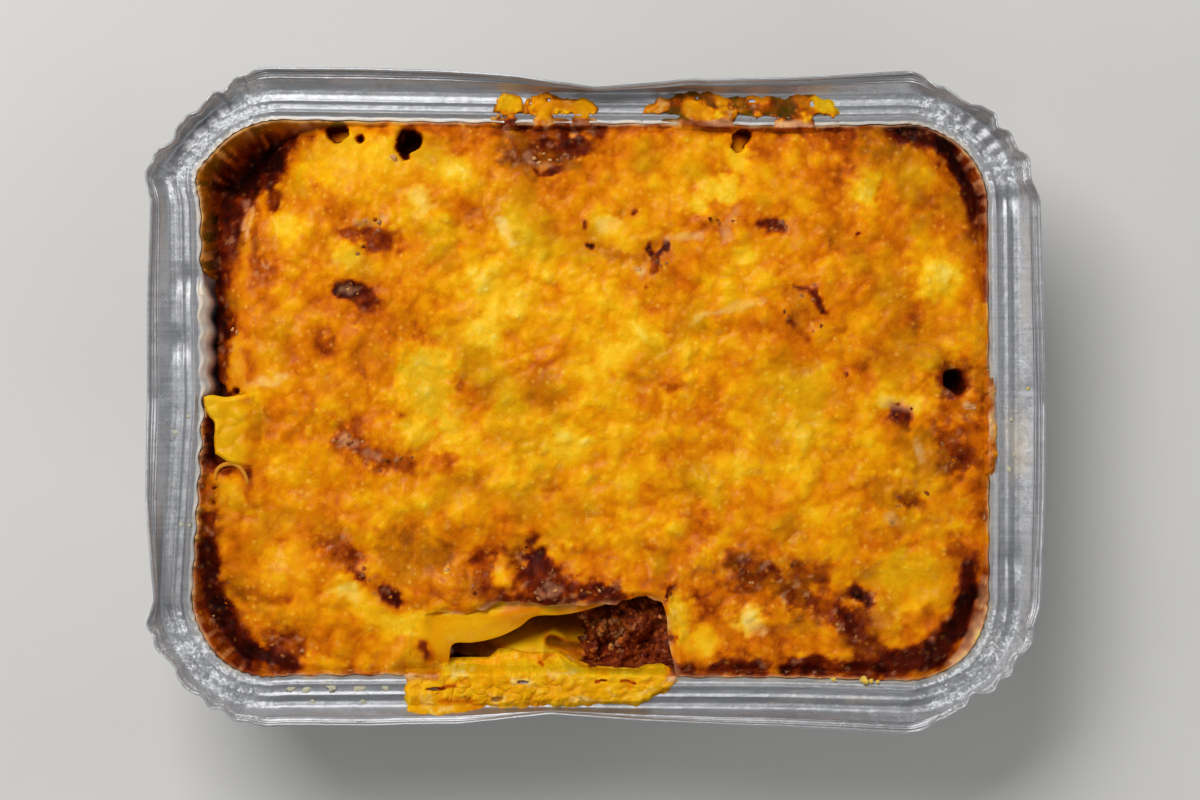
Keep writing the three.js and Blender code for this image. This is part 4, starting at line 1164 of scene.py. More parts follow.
def sheet_masks(x, y):
    """Tone of the bare band of sheet: yellow, more orange towards the crust and the right, with one red
    spot, and sauce stains at its edges."""
    tone = 0.27 + 0.06 * fractal(x, y, 8, 2, 821) + 0.08 * smooth((y + 49) / 5)
    tone = painted(tone, SHEET_MARKS, *bent(x, y, 0.5, 3, 2, 831))
    # Holes are painted near black: painted shade in the holes.
    tone = np.maximum(tone, 0.9 * smooth(pits(x, y) / 1.2))
    edge = np.exp(-((line_distance(CRUST_NOTCH, x, y) / 0.8) ** 2))
    edge = edge * smooth((x + 32) / 4) * smooth((4 - x) / 6)
    cream = 0.6 * edge * smooth(fractal(x, y, 3, 2, 845) * 3 + 0.4)
    oil = smooth(0.5 + 0.7 * fractal(x, y, 5, 2, 851))
    own = {"tone": tone, "olive": 0.08, "cream": cream, "oil": oil}
    beside, share = crust_masks(x, y), notch_end(x, y)
    return {mask: np.clip(lerp(values, beside[mask], share), 0, 1) for mask, values in own.items()}


# The fold of the lower sheet in the gap, as a line in the picture
FOLD_LINE = [(541, 660), (543, 648), (545, 639), (552, 635), (560, 639), (568, 648), (584, 655)]


def lower_height(x, y):
    """The lower sheet's upper face, with its small fold and the dimple behind it."""
    line = [from_picture(*p) for p in FOLD_LINE]
    ridge = 1.3 * np.exp(-((line_distance(line, x, y) / 0.9) ** 2))
    dimple = picture_swell((556, 646, 2.6, 1.2, -2.4), x, y)
    slot_floor = swell((-27, -53.6, 5.5, 4, 3.6), x, y)
    return lower_sheet_top(x, y) + ridge + dimple + slot_floor + 0.5 * fractal(x, y, 4, 3, 861)


def make_lower_sheet():
    """The lower sheet, which shows in the gap."""
    u, v = shares_near(0.4, 0.13, 193, 4), shares_near(0.0, 0.16, 113, 4)
    plan = tray_plan(lower_sheet_top, u, v, 0.3)
    x, y = plan[..., 0], plan[..., 1]
    height = lower_height(x, y)
    # Darker towards the back, under the lifted sheet's free edge, which is painted shade, and yellow towards
    # the front.
    tone = 0.62 - 0.44 * smooth((-48.5 - y) / 5) + 0.08 * fractal(x, y, 3, 3, 885)
    tone = painted(tone, LOWER_SHEET_MARKS, *bent(x, y, 0.6, 3, 2, 871))
    olive = 0.55 + 0.3 * fractal(x, y, 5, 2, 891)
    masks = {"tone": np.clip(tone, 0, 1), "olive": olive, "cream": 0, "oil": 0.4}
    piece = layer("lower_sheet", plan, height, height - SHEET, masks)
    return rides(piece, "cooked_pasta", "pasta_sheet_lower")


HEAP_Z = 28.0  # the mince in the gap, before its lumps
SHADED_HOLLOW_Z = 28.6  # below it, the low places between the lumps are painted dark, as shade


def sauce_height(x, y):
    """The meat between the sheets: level under the upper sheet, and in the gap a rough heap of mince at the
    right and a fall under the lower sheet at the left."""
    level = np.minimum(upper_sheet_top(x, y) - SHEET, lowest_crust(x, y) - SHEET) - GAP
    wx, wy = bent(x, y, 0.8, 4, 2, 901)
    big, own = blobs(wx, wy, 4.6, 921, 0.3)
    mid, _ = blobs(wx, wy, 2.3, 931, 0.3)
    fine, _ = blobs(x, y, 1.2, 935, 0.3)
    heap = HEAP_Z + 3.4 * big * own + 2.0 * mid + 0.9 * fine + 2.4 * fractal(wx, wy, 5, 2, 941)
    bed = lower_height(x, y) - 1.2
    right = smooth((x + 4.2 + 0.12 * (y + 50) + 1.2 * fractal(x, y, 3, 1, 951)) / 2.2)
    return lerp(level, lerp(bed, heap, right), in_gap(x, y))


def make_sauce():
    """The meat layer, with points closest together in the gap, where it shows."""
    u, v = shares_near(0.51, 0.07, 241, 7), shares_near(0.0, 0.17, 133, 5)
    plan = tray_plan(upper_sheet_top, u, v, 0.6)
    x, y = plan[..., 0], plan[..., 1]
    height = sauce_height(x, y)
    under = np.minimum(lower_sheet_top(x, y) + GAP, lowest_near(height, 3) - 0.6)
    height, under = inside_tray(x, y, height, under)
    juice_and_shade = smooth(0.45 + 1.2 * fractal(x, y, 2.5, 3, 961))
    fat = smooth((0.1 - np.abs(fractal(x + 0.4 * y, y, 4.5, 2, 971))) / 0.08)
    fat = fat * smooth(fractal(x, y, 5, 2, 975) * 3)
    # Low places between the lumps are painted dark: painted shade, added to the juices.
    low = smooth((SHADED_HOLLOW_Z + 2 * fractal(x, y, 6, 2, 977) - height) / 2.5)
    masks = {"juice_and_shade": np.clip(0.6 * juice_and_shade + low, 0, 1.4), "fat": fat * (1 - low)}
    piece = slab("mince", with_height(plan, height), with_height(plan, under), masks)
    return rides(piece, "meat_sauce", "meat_sauce_upper")


# The bare corner of pasta at the left wall: its four borders, in the picture
TAB_TOP = [(204, 397), (212, 395), (226, 397), (240, 395), (252, 392), (262, 390), (272, 392)]
TAB_BOTTOM = [(215, 454), (221, 457), (228, 462), (238, 466), (250, 468), (261, 469), (272, 468)]
TAB_LEFT = [(215, 454), (214, 440), (215, 424), (209, 416), (205, 408), (204, 397)]


def picture_line(points, count):
    """A smooth line in millimetres through places in the picture."""
    return rounded_line([from_picture(*p) for p in points], count)


def make_tab():
    """The corner of the upper sheet that lies bare: it bends up at the wall and dips under the cheese."""
    front, back = picture_line(TAB_BOTTOM, 60), picture_line(TAB_TOP, 60)
    left = picture_line(TAB_LEFT, 60)
    u, v = np.linspace(0, 1, 129), np.linspace(0, 1, 97)
    plan = patch(front, back, left, np.stack([front[-1], back[-1]]), u, v)
    x, y = plan[..., 0], plan[..., 1]
    u, v = np.meshgrid(u, v)
    border_share = np.minimum(np.minimum(u, v), 1 - v) / 0.07
    rolled = 0.9 * (1 - np.sqrt(smooth(border_share)))
    dome, _ = blobs(x + fractal(x, y, 4, 2, 1005), y, 3.4, 1003)
    level = 36.7 + 0.4 * fractal(x, y, 6, 2, 1001) + 0.8 * dome + 0.08 * fractal(x, y, 1.5, 2, 1007)
    bend = swell((-80.5, -1.2, 3.2, 2.6, 0.7), x, y) + 0.5 * smooth((y + 1.2) / 2.0) * smooth((-70 - x) / 4)
    height = lerp(level + bend, food_height(x, y) - 1.2, smooth((x + 75.2) / 5)) - rolled
    tone = 0.26 + 0.12 * fractal(x, y, 5, 3, 1011) - 0.1 * dome
    tone = lerp(tone, 0.14, 0.5 * smooth((y + 1.4) / 1.4))
    tone = lerp(tone, 0.55, 0.6 * smooth((0.05 - u) / 0.05))
    beside = crust_masks(x, y)
    joined_share = smooth((x + 76.5 + 1.5 * fractal(x, y, 3, 2, 1031)) / 4)
    tone = lerp(tone, beside["tone"], joined_share)
    olive = 0.35 + 0.3 * swell((-79, -8, 4, 4, 1), x, y) + 0.3 * fractal(x, y, 3, 2, 1021)
    olive = lerp(olive, beside["olive"], joined_share)
    masks = {"tone": np.clip(tone, 0, 1), "olive": np.clip(olive, 0, 1), "cream": 0, "oil": 0.75}
    piece = slab("pasta_corner", with_height(plan, height), with_height(plan, height - 1.1), masks)
    return rides(piece, "cooked_pasta", "pasta_sheet_upper")


def ribbon(name, path, low, high, thickness, masks):
    """An upright strip along a path: round the strip a rounded rectangle, as a closed ring of 12 points,
    carried along the path and drawn to a point at both ends."""
    count = len(path)
    tangent = np.gradient(path, axis=0)
    beside = np.stack([-tangent[:, 1], tangent[:, 0]], -1) / np.linalg.norm(tangent, axis=1)[:, None]
    angle = np.linspace(0, TAU, 13)[:-1]
    side = np.sign(np.cos(angle)) * np.abs(np.cos(angle)) ** 0.5
    rise = np.sign(np.sin(angle)) * np.abs(np.sin(angle)) ** 0.5
    taper = np.sin(np.linspace(0.03, math.pi - 0.03, count)) ** 0.35
    across = (taper * thickness / 2)[:, None] * side[None]
    z = ((high + low) / 2)[:, None] + ((high - low) / 2 * taper)[:, None] * rise[None]
    x = path[:, 0][:, None] + beside[:, 0][:, None] * across
    y = path[:, 1][:, None] + beside[:, 1][:, None] * across
    points = np.stack([x, y, z], -1)
    faces = [grid_faces(count, 12, wrap=True)]
    for row, turn in ((0, -1), (count - 1, 1)):
        ring = row * 12 + np.arange(12)[::turn]
        faces.append(np.stack([np.full(10, ring[0]), ring[1:11], ring[2:12]], -1))
    spread = {mask: np.broadcast_to(value, (count, 12)) for mask, value in masks.items()}
    return make_mesh(name, points, faces, spread)


EDGE_FOLD = [(215, 480), (216, 471), (223, 465), (234, 464), (242, 470), (247, 482), (247, 497)]


def make_edge_fold():
    """The pale edge of a sheet that stands up in a bow beside the bare corner."""
    path = picture_line(EDGE_FOLD, 60)
    top = food_height(path[:, 0], path[:, 1]) + np.linspace(1.0, 0.0, 60)
    masks = {"tone": 0.48, "olive": 0.9, "cream": 0.1, "oil": 0.4}
    piece = ribbon("pasta_fold", path, top - 4, top, 1.0, masks)
    return rides(piece, "cooked_pasta", "pasta_sheet_upper")


# Cheese that ran over the lip. Each spill is a grid along the lip and across it: for places along the side
# its inner and outer edge, as distances outside the lip. It crosses the rim's first bead only at its
# crossings.
SPILLS = {
    "spill_front": {
        "side": 3,
        "inner": [
            (-41, -3), (-33, -3), (-31, -3.4), (-23, -3.6), (-21, -5.4), (-8, -5.4), (-5, -3.4), (-1, -2),
            (5, -1.8), (9, -1.7), (11, -2.4), (14, -2.6), (16, -2), (17.5, -1.6),
        ],
        "outer": [
            (-40.8, 6.4), (-40, 8.4), (-38, 8.8), (-34, 8.9), (-29, 8.7), (-26.5, 8), (-24, 7.2),
            (-20, 6.6), (-15, 6.1), (-10, 6.3), (-5, 6), (0, 6.4), (5, 6.2), (9, 6.1), (11, 5), (13, 3.4),
            (15, 2.4), (17.5, 0.4),
        ],
        "crossings": [(-FAR, FAR)],
        "columns": 301,
        "rows": 81,
        "thickness": 1.0,
        "tone": 0.25,
        "mottle": 0.12,
        "olive": 0.08,
    },
    "spill_back_left": {
        "side": 1,
        "inner": [(-22.5, -3), (2.5, -3)],
        "outer": [
            (-22.5, 0.2), (-21, 4.6), (-19.8, 6.4), (-17.4, 6.5), (-16, 5.2), (-15.4, 2.6), (-14.9, 4.2),
            (-13.5, 6.1), (-10.4, 6.3), (-9, 5.3), (-7, 5.1), (-3, 5.3), (-0.6, 4.8), (0.6, 2.4), (2.5, 0.4),
        ],
        "crossings": [(-19.6, -16.4), (-12.9, -9.2), (-5.2, -0.9)],
        "columns": 161,
        "rows": 65,
        "thickness": 0.6,
        "tone": 0.34,
        "mottle": 0.3,
        "olive": 0.7,
    },
    "spill_back_right": {
        "side": 1,
        "inner": [(9.6, -3), (51.9, -3)],
        "outer": [
            (9.6, 0.4), (10.6, 3.4), (12.6, 4), (13.4, 5.7), (14.3, 5.5), (15, 4.7), (17, 6.3), (21, 6.5),
            (26, 6.7), (31, 6.5), (36, 6.7), (42, 6.5), (46, 6.3), (48, 5.7), (50.2, 4.9), (51.9, 2),
        ],
        "crossings": [(17.6, 29.6), (37.1, 46.6)],
        "columns": 241,
        "rows": 65,
        "thickness": 0.6,
        "tone": 0.44,
        "mottle": 0.42,
        "olive": 0.8,
    },
    "spill_right": {
        "side": 0,
        "inner": [(-16.6, -3), (6.4, -3)],
        "outer": [
            (-16.6, -0.6), (-14.6, 1), (-11, 1.5), (-6, 1.3), (-2, 1.6), (1.6, 1.4), (4.4, 0.7), (6.4, -0.6),
        ],
        "crossings": [(-FAR, FAR)],
        "columns": 121,
        "rows": 37,
        "thickness": 1.1,
        "tone": 0.4,
        "mottle": 0.12,
        "olive": 0.3,
    },
}

# Places where a spill has a hole down to the foil, in the picture, with half widths in millimetres, and the
# spills' marks of colour, and pale marks that are partly set fat and partly painted glints, as on the crust
SPILL_HOLES = [
    (497, 699, 1.7, 0.5), (524, 682, 1.3, 0.3), (436, 689, 1.7, 0.35), (604, 680, 0.8, 0.25),
    (549, 100, 0.6, 0.4), (697, 99, 0.6, 0.5), (752, 101, 0.8, 0.4), (785, 95, 0.9, 0.9),
    (531, 100, 0.4, 0.9), (812, 104, 0.5, 0.6),
]
SPILL_MARKS = [
    (668, 100, 686, 104, 2.4, 0.76, 0.8), (662, 96, 664, 108, 0.9, 0.4, 0.7),
    (700, 95, 720, 97, 1.4, 0.66, 0.7), (742, 103, 770, 108, 1.6, 0.68, 0.7),
    (776, 98, 792, 102, 1.8, 0.86, 0.8), (800, 96, 808, 110, 1.4, 0.56, 0.7),
    (820, 103, 834, 107, 1.9, 0.2, 0.9), (646, 108, 656, 109, 1.6, 0.4, 0.7),
    (690, 108, 712, 116, 1.8, 0.3, 0.8), (716, 113, 720, 116, 0.7, 0.1, 0.8),
    (718, 96, 724, 104, 1.2, 0.34, 0.7), (752, 98, 765, 100, 1.2, 0.4, 0.7),
    (505, 101, 516, 105, 1.7, 0.26, 0.8), (530, 98, 552, 103, 1.7, 0.46, 0.7),
    (560, 103, 580, 106, 1.2, 0.5, 0.7), (584, 102, 590, 122, 1.6, 0.32, 0.8),
    (540, 116, 548, 124, 1.4, 0.3, 0.8), (556, 97, 576, 98, 0.7, 0.8, 0.8),
    (412, 690, 430, 704, 2.4, 0.3, 0.6), (432, 688, 454, 686, 0.5, 0.74, 0.8),
    (440, 701, 470, 700, 0.6, 0.6, 0.6), (475, 664, 500, 696, 3.6, 0.3, 0.6),
    (508, 672, 540, 672, 1.2, 0.16, 0.6), (520, 690, 620, 694, 2.2, 0.3, 0.6),
    (585, 663, 606, 668, 1.6, 0.5, 0.6), (628, 662, 645, 664, 1.4, 0.3, 0.6),
    (560, 672, 585, 676, 1.2, 0.14, 0.5), (596, 682, 600, 682, 0.4, 0.8, 0.8),
    (622, 682, 636, 682, 0.35, 0.8, 0.8), (660, 668, 672, 674, 1.4, 0.24, 0.7),
    (456, 676, 462, 672, 0.8, 0.06, 0.8), (539, 665, 543, 667, 0.5, 0.74, 0.8),
]
SPILL_CREAM = [
    (455, 676, 463, 673, 0.7, 0.8), (514, 680, 530, 682, 0.5, 0.9), (495, 700, 502, 698, 0.8, 0.6),
    (558, 674, 572, 673, 0.5, 0.6), (440, 710, 452, 708, 0.5, 0.6), (570, 699, 602, 700, 0.4, 0.6),
    (548, 672, 556, 676, 0.5, 0.5), (640, 694, 646, 692, 0.5, 0.5), (424, 700, 432, 704, 0.7, 0.4),
]
BEAD_REACH = (-1.7, 2.2)  # the rim's first bead, as distances outside the lip
BARE = -0.28  # thickness where a spill sinks below the foil


def side_place(side, along_mm):
    """Distance along the lip for a place on a side, given by its x or y."""
    row = rim["lip"][:, 0 if side % 2 else 1]
    normal = rim["normal"]
    out = np.array([math.cos(side * math.pi / 2), math.sin(side * math.pi / 2)])
    flat = np.where(normal @ out > 0.99)[0]
    order = flat[np.argsort(row[flat])]
    return np.interp(along_mm, row[order], rim["s"][order])


def make_spill(name, spill):
    """A crust of cheese over the lip: its base follows the food inside the lip and the foil outside it, its
    thickness is a lumpy field that sinks below the foil at ragged edges and in holes."""
    low, high = spill["outer"][0][0], spill["outer"][-1][0]
    along_mm = np.linspace(low, high, spill["columns"])
    if spill["side"] in (1, 2):
        along_mm = along_mm[::-1]
    inner = np.interp(along_mm, *np.array(spill["inner"]).T)
    outer = np.interp(along_mm, *np.array(spill["outer"]).T)
    share = np.linspace(0, 1, spill["rows"])[:, None]
    p = lerp(inner[None], outer[None] + 0.7, share)
    s = np.broadcast_to(side_place(spill["side"], along_mm)[None], p.shape)
    base, tilt = rim_surface(s, np.maximum(p, 0))
    normal = at_rim("normal", s)
    flute = FLUTE_DEPTH * at_rim("flute", s) * (1 - smooth(np.maximum(p, 0) / 2.2))
    base[..., :2] -= normal * (0.85 * flute)[..., None]
    level = LEDGE_Z + 0.35 + 0.25 * fractal(s, p, 4, 2, 1103)
    base[..., 2] = lerp(base[..., 2], level, 0.9 * smooth((LEDGE_WIDTH - p) / 1.5))
    x = base[..., 0] + normal[..., 0] * np.minimum(p, 0)
    y = base[..., 1] + normal[..., 1] * np.minimum(p, 0)
    open_gap = smooth((x + 34) / 1.5) * smooth((15.8 - x) / 1.5) * (name == "spill_front")
    food = lerp(np.minimum(crust_height(x, y) - 0.25, LIP_Z + 1.6), front_bed(x, y), open_gap)
    reach = lerp(1.8, 3.6, open_gap * smooth((x + 22) / 2) * smooth((-4 - x) / 3))
    food = np.maximum(food, wall_height(x, y)[0] + 0.9)
    z = np.where(p < 0, lerp(base[..., 2], food, smooth(-p / reach)), base[..., 2])
    ends = np.minimum(np.abs(along_mm - low), np.abs(high - along_mm))[None]
    ragged = 1.2 * fractal(x, y, 2.8, 3, 1101)
    from_edge = np.minimum(outer[None] - p + ragged, ends * 1.2 - 0.3 + ragged)
    bent_x, bent_y = x + 1.1 * fractal(x, y, 3, 2, 1105), y + 1.1 * fractal(x, y, 3, 2, 1107)
    big, _ = blobs(bent_x, bent_y, 3.2, 1111)
    mid, _ = blobs(bent_x, bent_y, 1.7, 1121)
    lumpy = 0.5 + 0.7 * big + 0.4 * mid + 0.5 * fractal(x, y, 5, 3, 1131)
    crease = fractal(x, y, 2.8, 3, 1193)
    crease = smooth((0.13 - np.abs(crease)) / 0.13) * smooth(fractal(x, y, 7, 2, 1195) * 4 + 0.5)
    thick = spill["thickness"] * (lumpy - 0.3 * crease) * np.sqrt(smooth(from_edge / 1.4))
    thick = np.where(from_edge < 0.02, -0.25, thick)
    crossed = np.zeros(x.shape)
    for start, end in spill["crossings"]:
        reach = np.minimum(along_mm - start, end - along_mm)[None]
        crossed = np.maximum(crossed, smooth((reach + 1.3 * ragged) / 0.9))
    frayed = 0.5 * ragged + 1.1 * fractal(x, y, 1.3, 2, 1135)
    on_bead = smooth((p - BEAD_REACH[0] + frayed) / 0.5) * smooth((BEAD_REACH[1] - p + frayed) / 0.5)
    thick = lerp(thick, BARE, on_bead * (1 - crossed))
    sinks = smooth((-0.9 - p) / 1.2) * (1 - open_gap)
    rim_share = smooth((p - inner[None] + 0.5 * ragged) / 1.0) * (1 - sinks)
    thick = thick * rim_share - lerp(0.7, 0.3, smooth((p + 1) / 1)) * (1 - rim_share)
    thick = thick * (1 - 0.55 * smooth((p - 5.4) / 1.4))
    for px, py, reach_x, reach_y in SPILL_HOLES:
        at_x, at_y = from_picture(px, py)
        far = np.hypot((x - at_x) / reach_x, (y - at_y) / reach_y) + 0.6 * fractal(x, y, 1.3, 2, 1141)
        thick = lerp(thick, BARE, smooth((1.25 - far) / 0.35))
    up = np.cos(0.6 * tilt)
    out = -np.sin(0.6 * tilt)

    def raised(by):
        """The base moved square to the foil."""
        return np.stack([x + normal[..., 0] * out * by, y + normal[..., 1] * out * by, z + up * by], -1)

    top, under = raised(thick), raised(np.minimum(thick, 0) - 0.12)
    mottle = spill["mottle"]
    # Lump tops paler and creases darker, here and in the next lines: partly the cheese's own colour, partly
    # painted light on the tops and painted shade in the creases.
    tone = spill["tone"] + mottle * fractal(x, y, 2.6, 3, 1151) - 0.12 * (big - 0.4) - 0.06 * mid
    thin = 1 - smooth(thick / 0.8)
    tone = tone + 1.3 * mottle * thin + (0.05 + 0.25 * mottle) * crease
    wx, wy = bent(x, y, 0.6, 2.4, 2, 1161)
    tone = painted(tone, SPILL_MARKS, wx, wy)
    olive = spill["olive"] * np.maximum(smooth(fractal(x, y, 3, 2, 1185) * 1.8), 0.8 * thin)
    cream = 0.4 * smooth(fractal(x, y, 1.8, 3, 1187) * 3 - 1.3)
    frays = np.clip(1 + 1.2 * fractal(x, y, 1.3, 2, 1191), 0.2, 2)
    # The pale marks: partly set fat, partly painted glints.
    for mark in SPILL_CREAM:
        cream = np.maximum(cream, 0.8 * mark[5] * stroke(mark, wx, wy, frays))
    beside = crust_masks(x, y)
    share = smooth((p - 0.2 + 0.6 * ragged) / 1.2) * (0.5 if name == "spill_right" else 1)
    share = np.maximum(share, open_gap)
    masks = {"tone": tone, "olive": olive, "cream": cream}
    masks = {mask: lerp(beside[mask], values, share) for mask, values in masks.items()}
    masks["tone"] = np.clip(masks["tone"], 0, 1)
    masks["oil"] = smooth(0.4 + 0.8 * fractal(x, y, 4, 2, 1181))
    masks = {mask: values[::-1] for mask, values in masks.items()}
    return rides(slab(name, top[::-1], under[::-1], masks), "baked_cheese", "cheese_crust")


def front_bed(x, y):
    """What the front spill lies on inside the lip: the lifted sheet at the left, then the lower sheet as it
    turns up, then the meat."""
    left = smooth((-30.5 - x) / 2)
    middle = lower_height(x, y)
    bed = lerp(np.maximum(middle, 30), 31.5, smooth((x + 3) / 4))
    return lerp(bed, lifted_height(x, y), left)


# Small pieces


BALL_RINGS, RING_POINTS = 6, 9


def bits(name, places, masks, seed, flat=0.75):
    """Small lumps: each is a ball of rings of points, stretched, turned, and dented by random numbers, and
    as high as a flat share of its width."""
    place, size = np.array([p[:3] for p in places], float), np.array([p[3] for p in places], float)
    count = len(places)
    rng = np.random.default_rng(seed)
    polar = np.linspace(0, math.pi, BALL_RINGS + 2)[1:-1]
    turn = np.linspace(0, TAU, RING_POINTS + 1)[:-1]
    ring = np.stack([
        np.sin(polar)[:, None] * np.cos(turn)[None],
        np.sin(polar)[:, None] * np.sin(turn)[None],
        np.repeat(np.cos(polar)[:, None], RING_POINTS, 1),
    ], -1).reshape(-1, 3)
    ball = np.concatenate([ring, [[0, 0, 1], [0, 0, -1]]])
    each = len(ball)
    dents = 1 + 0.24 * rng.standard_normal((count, each))
    stretch = rng.uniform(0.65, 1.3, (count, 1, 3)) * np.array([1, 1, flat])
    shape = ball[None] * np.clip(dents, 0.6, 1.5)[..., None] * stretch * size[:, None, None]
    spin = rng.uniform(0, TAU, count)
    cos, sin = np.cos(spin)[:, None], np.sin(spin)[:, None]
    x = shape[..., 0] * cos - shape[..., 1] * sin
    y = shape[..., 0] * sin + shape[..., 1] * cos
    points = np.stack([x, y, shape[..., 2]], -1) + place[:, None]
    i = np.arange(RING_POINTS)
    after = (i + 1) % RING_POINTS
    last_ring = (BALL_RINGS - 1) * RING_POINTS
    quads = grid_faces(BALL_RINGS, RING_POINTS, wrap=True)[:, ::-1]
    top = np.stack([np.full(RING_POINTS, each - 2), i, after], -1)
    bottom = np.stack([np.full(RING_POINTS, each - 1), last_ring + after, last_ring + i], -1)
    starts = (np.arange(count) * each)[:, None, None]
    faces = [(f[None] + starts).reshape(-1, f.shape[1]) for f in (quads, top, bottom)]
    spread = {mask: np.repeat(np.broadcast_to(values, count), each) for mask, values in masks.items()}
    return make_mesh(name, points, faces, spread)


def on_crust(px, py, size, sink):
    """A place on the crust, for a lump of a size that is partly sunk into it."""
    x, y = from_picture(px, py)
    z = crust_height(np.array([[x]]), np.array([[y]]))[0, 0]
    return (x, y, z + size * (0.5 - sink), size)


# Mince that shows through the cheese in the brown patches: place and spread in the picture, and how many
# grains. The heap of mince in the gap is given in the same way.
MINCE_PLACES = [
    (366, 235, 14, 7, 7), (352, 292, 12, 6, 5), (545, 155, 20, 7, 6), (655, 260, 9, 9, 5),
    (713, 222, 14, 6, 4), (775, 228, 8, 5, 3), (805, 300, 8, 12, 4), (798, 330, 9, 7, 4),
    (900, 415, 9, 6, 5), (350, 440, 10, 7, 5), (388, 460, 17, 8, 6), (545, 580, 18, 16, 12),
    (600, 592, 15, 7, 7), (665, 615, 4, 16, 4), (360, 575, 9, 8, 4), (390, 595, 9, 5, 4),
    (755, 570, 18, 9, 6), (800, 600, 14, 8, 5), (850, 625, 14, 10, 6), (905, 500, 9, 6, 4),
    (950, 450, 6, 10, 4), (490, 580, 9, 14, 5), (275, 645, 22, 7, 6), (228, 600, 8, 16, 5),
    (230, 330, 8, 12, 4),
]
GAP_MINCE = (601, 636, 22, 9, 90)


def gap_mince():
    """Places of grains on the mince in the gap, scattered in the same way as those on the crust."""
    rng = np.random.default_rng(79)
    px, py, spread_x, spread_y, count = GAP_MINCE
    x, y = from_picture(rng.uniform(px - spread_x, px + spread_x, count), rng.normal(py, spread_y, count))
    z = sauce_height(x[None], y[None])[0]
    size = rng.uniform(0.35, 0.85, count)
    return [(*place[:2], place[2] - 0.1 * place[3], place[3]) for place in zip(x, y, z, size)]


def crust_mince():
    """Places of the mince on the crust: scattered round each patch's middle by random numbers."""
    rng = np.random.default_rng(77)
    places = []
    for px, py, spread_x, spread_y, count in MINCE_PLACES:
        for _ in range(count):
            size = rng.uniform(0.3, 0.6)
            places.append(on_crust(px + rng.normal(0, spread_x), py + rng.normal(0, spread_y), size, 0.8))
    return places


# Crumbs of baked cheese on the crust and on the rim's ledge, and set drops of fat: place and size
CRUMBS = [
    (394, 158, 0.6), (447, 570, 0.55), (968, 405, 0.4), (974, 408, 0.35), (638, 270, 0.4), (534, 158, 0.4),
    (544, 154, 0.35), (539, 163, 0.45), (550, 160, 0.35), (890, 520, 0.45), (556, 590, 0.5), (380, 222, 0.4),
    (366, 221, 0.35), (348, 289, 0.35),
]
LEDGE_CRUMBS = [
    (866, 673, 0.75), (871, 671, 0.6), (876, 675, 0.5), (833, 673, 0.5), (1028, 388, 0.28), (862, 676, 0.4),
]
FAT_DROPS = [
    (291, 688, 0.9), (306, 690, 0.8), (332, 686, 0.9), (361, 688, 1.0), (384, 687, 0.8), (312, 702, 0.6),
    (364, 702, 0.6), (189, 416, 0.6), (175, 430, 0.6), (181, 524, 0.7), (189, 523, 0.5), (1010, 420, 0.7),
    (1014, 452, 0.6), (1009, 470, 0.6),
]


def on_ledge(px, py):
    """A place on the ledge or outer lip under a place in the picture, found column by column."""
    x, y = from_picture(px, py)
    s = s_near(x, y)
    p = np.linspace(0, LEDGE_WIDTH + LIP_LENGTH, 120)
    points, _ = rim_surface(np.full(len(p), s), p)
    return points[np.argmin(np.hypot(points[:, 0] - x, points[:, 1] - y))]


def make_small_pieces():
    """Mince, crumbs and drops, each kind as one mesh."""
    places = [*crust_mince(), *gap_mince()]
    rng = np.random.default_rng(78)
    tone = rng.uniform(0.6, 0.9, len(places))
    cream = 0.5 * rng.uniform(0, 1, len(places)) ** 3
    mince = bits("mince_bits", places, {"tone": tone, "olive": 0.15, "cream": cream, "oil": 0.2}, 5)
    rides(mince, "meat_sauce", "cheese_crust")
    crumbs = [on_crust(px, py, size, 0.45) for px, py, size in CRUMBS]
    crumbs += [(*(on_ledge(px, py) + [0, 0, size * 0.4]), size) for px, py, size in LEDGE_CRUMBS]
    tones = [0.6] * len(CRUMBS) + [0.25] * len(LEDGE_CRUMBS)
    crumb_masks = {"tone": tones, "olive": 0.1, "cream": 0.45, "oil": 0.3}
    crumbs = rides(bits("crumbs", crumbs, crumb_masks, 6), "baked_cheese", "cheese_crust")
    drops = [(*on_ledge(px, py), size) for px, py, size in FAT_DROPS]
    return mince, crumbs, rides(bits("fat_drops", drops, {}, 7, 0.13), "baked_cheese", "cheese_crust")


# Materials


def joined(tree, made, inputs):
    """Sets a node's inputs, to values or to other nodes' outputs."""
    for name, value in inputs.items():
        if isinstance(value, bpy.types.NodeSocket):
            tree.links.new(value, made.inputs[name])
        else:
            made.inputs[name].default_value = value
    return made


def node(tree, kind, inputs=None, **settings):
    """One shader node with its settings and its inputs."""
    made = tree.nodes.new(kind)
    for name, value in settings.items():
        setattr(made, name, value)
    return joined(tree, made, inputs or {})


def math_node(tree, operation, *values, clamp=False):
    """The result of a sum on values or outputs."""
    made = node(tree, "ShaderNodeMath", dict(enumerate(values)), operation=operation, use_clamp=clamp)
    return made.outputs[0]


def mix_colours(tree, share, first, second, blend="MIX"):
    """The first colour at share 0, the second at share 1."""
    inputs = {0: share, 6: first, 7: second}
    return node(tree, "ShaderNodeMix", inputs, data_type="RGBA", blend_type=blend).outputs[2]


def attribute(tree, name):
    """A piece's own mask."""
    return node(tree, "ShaderNodeAttribute", attribute_name=name).outputs["Fac"]


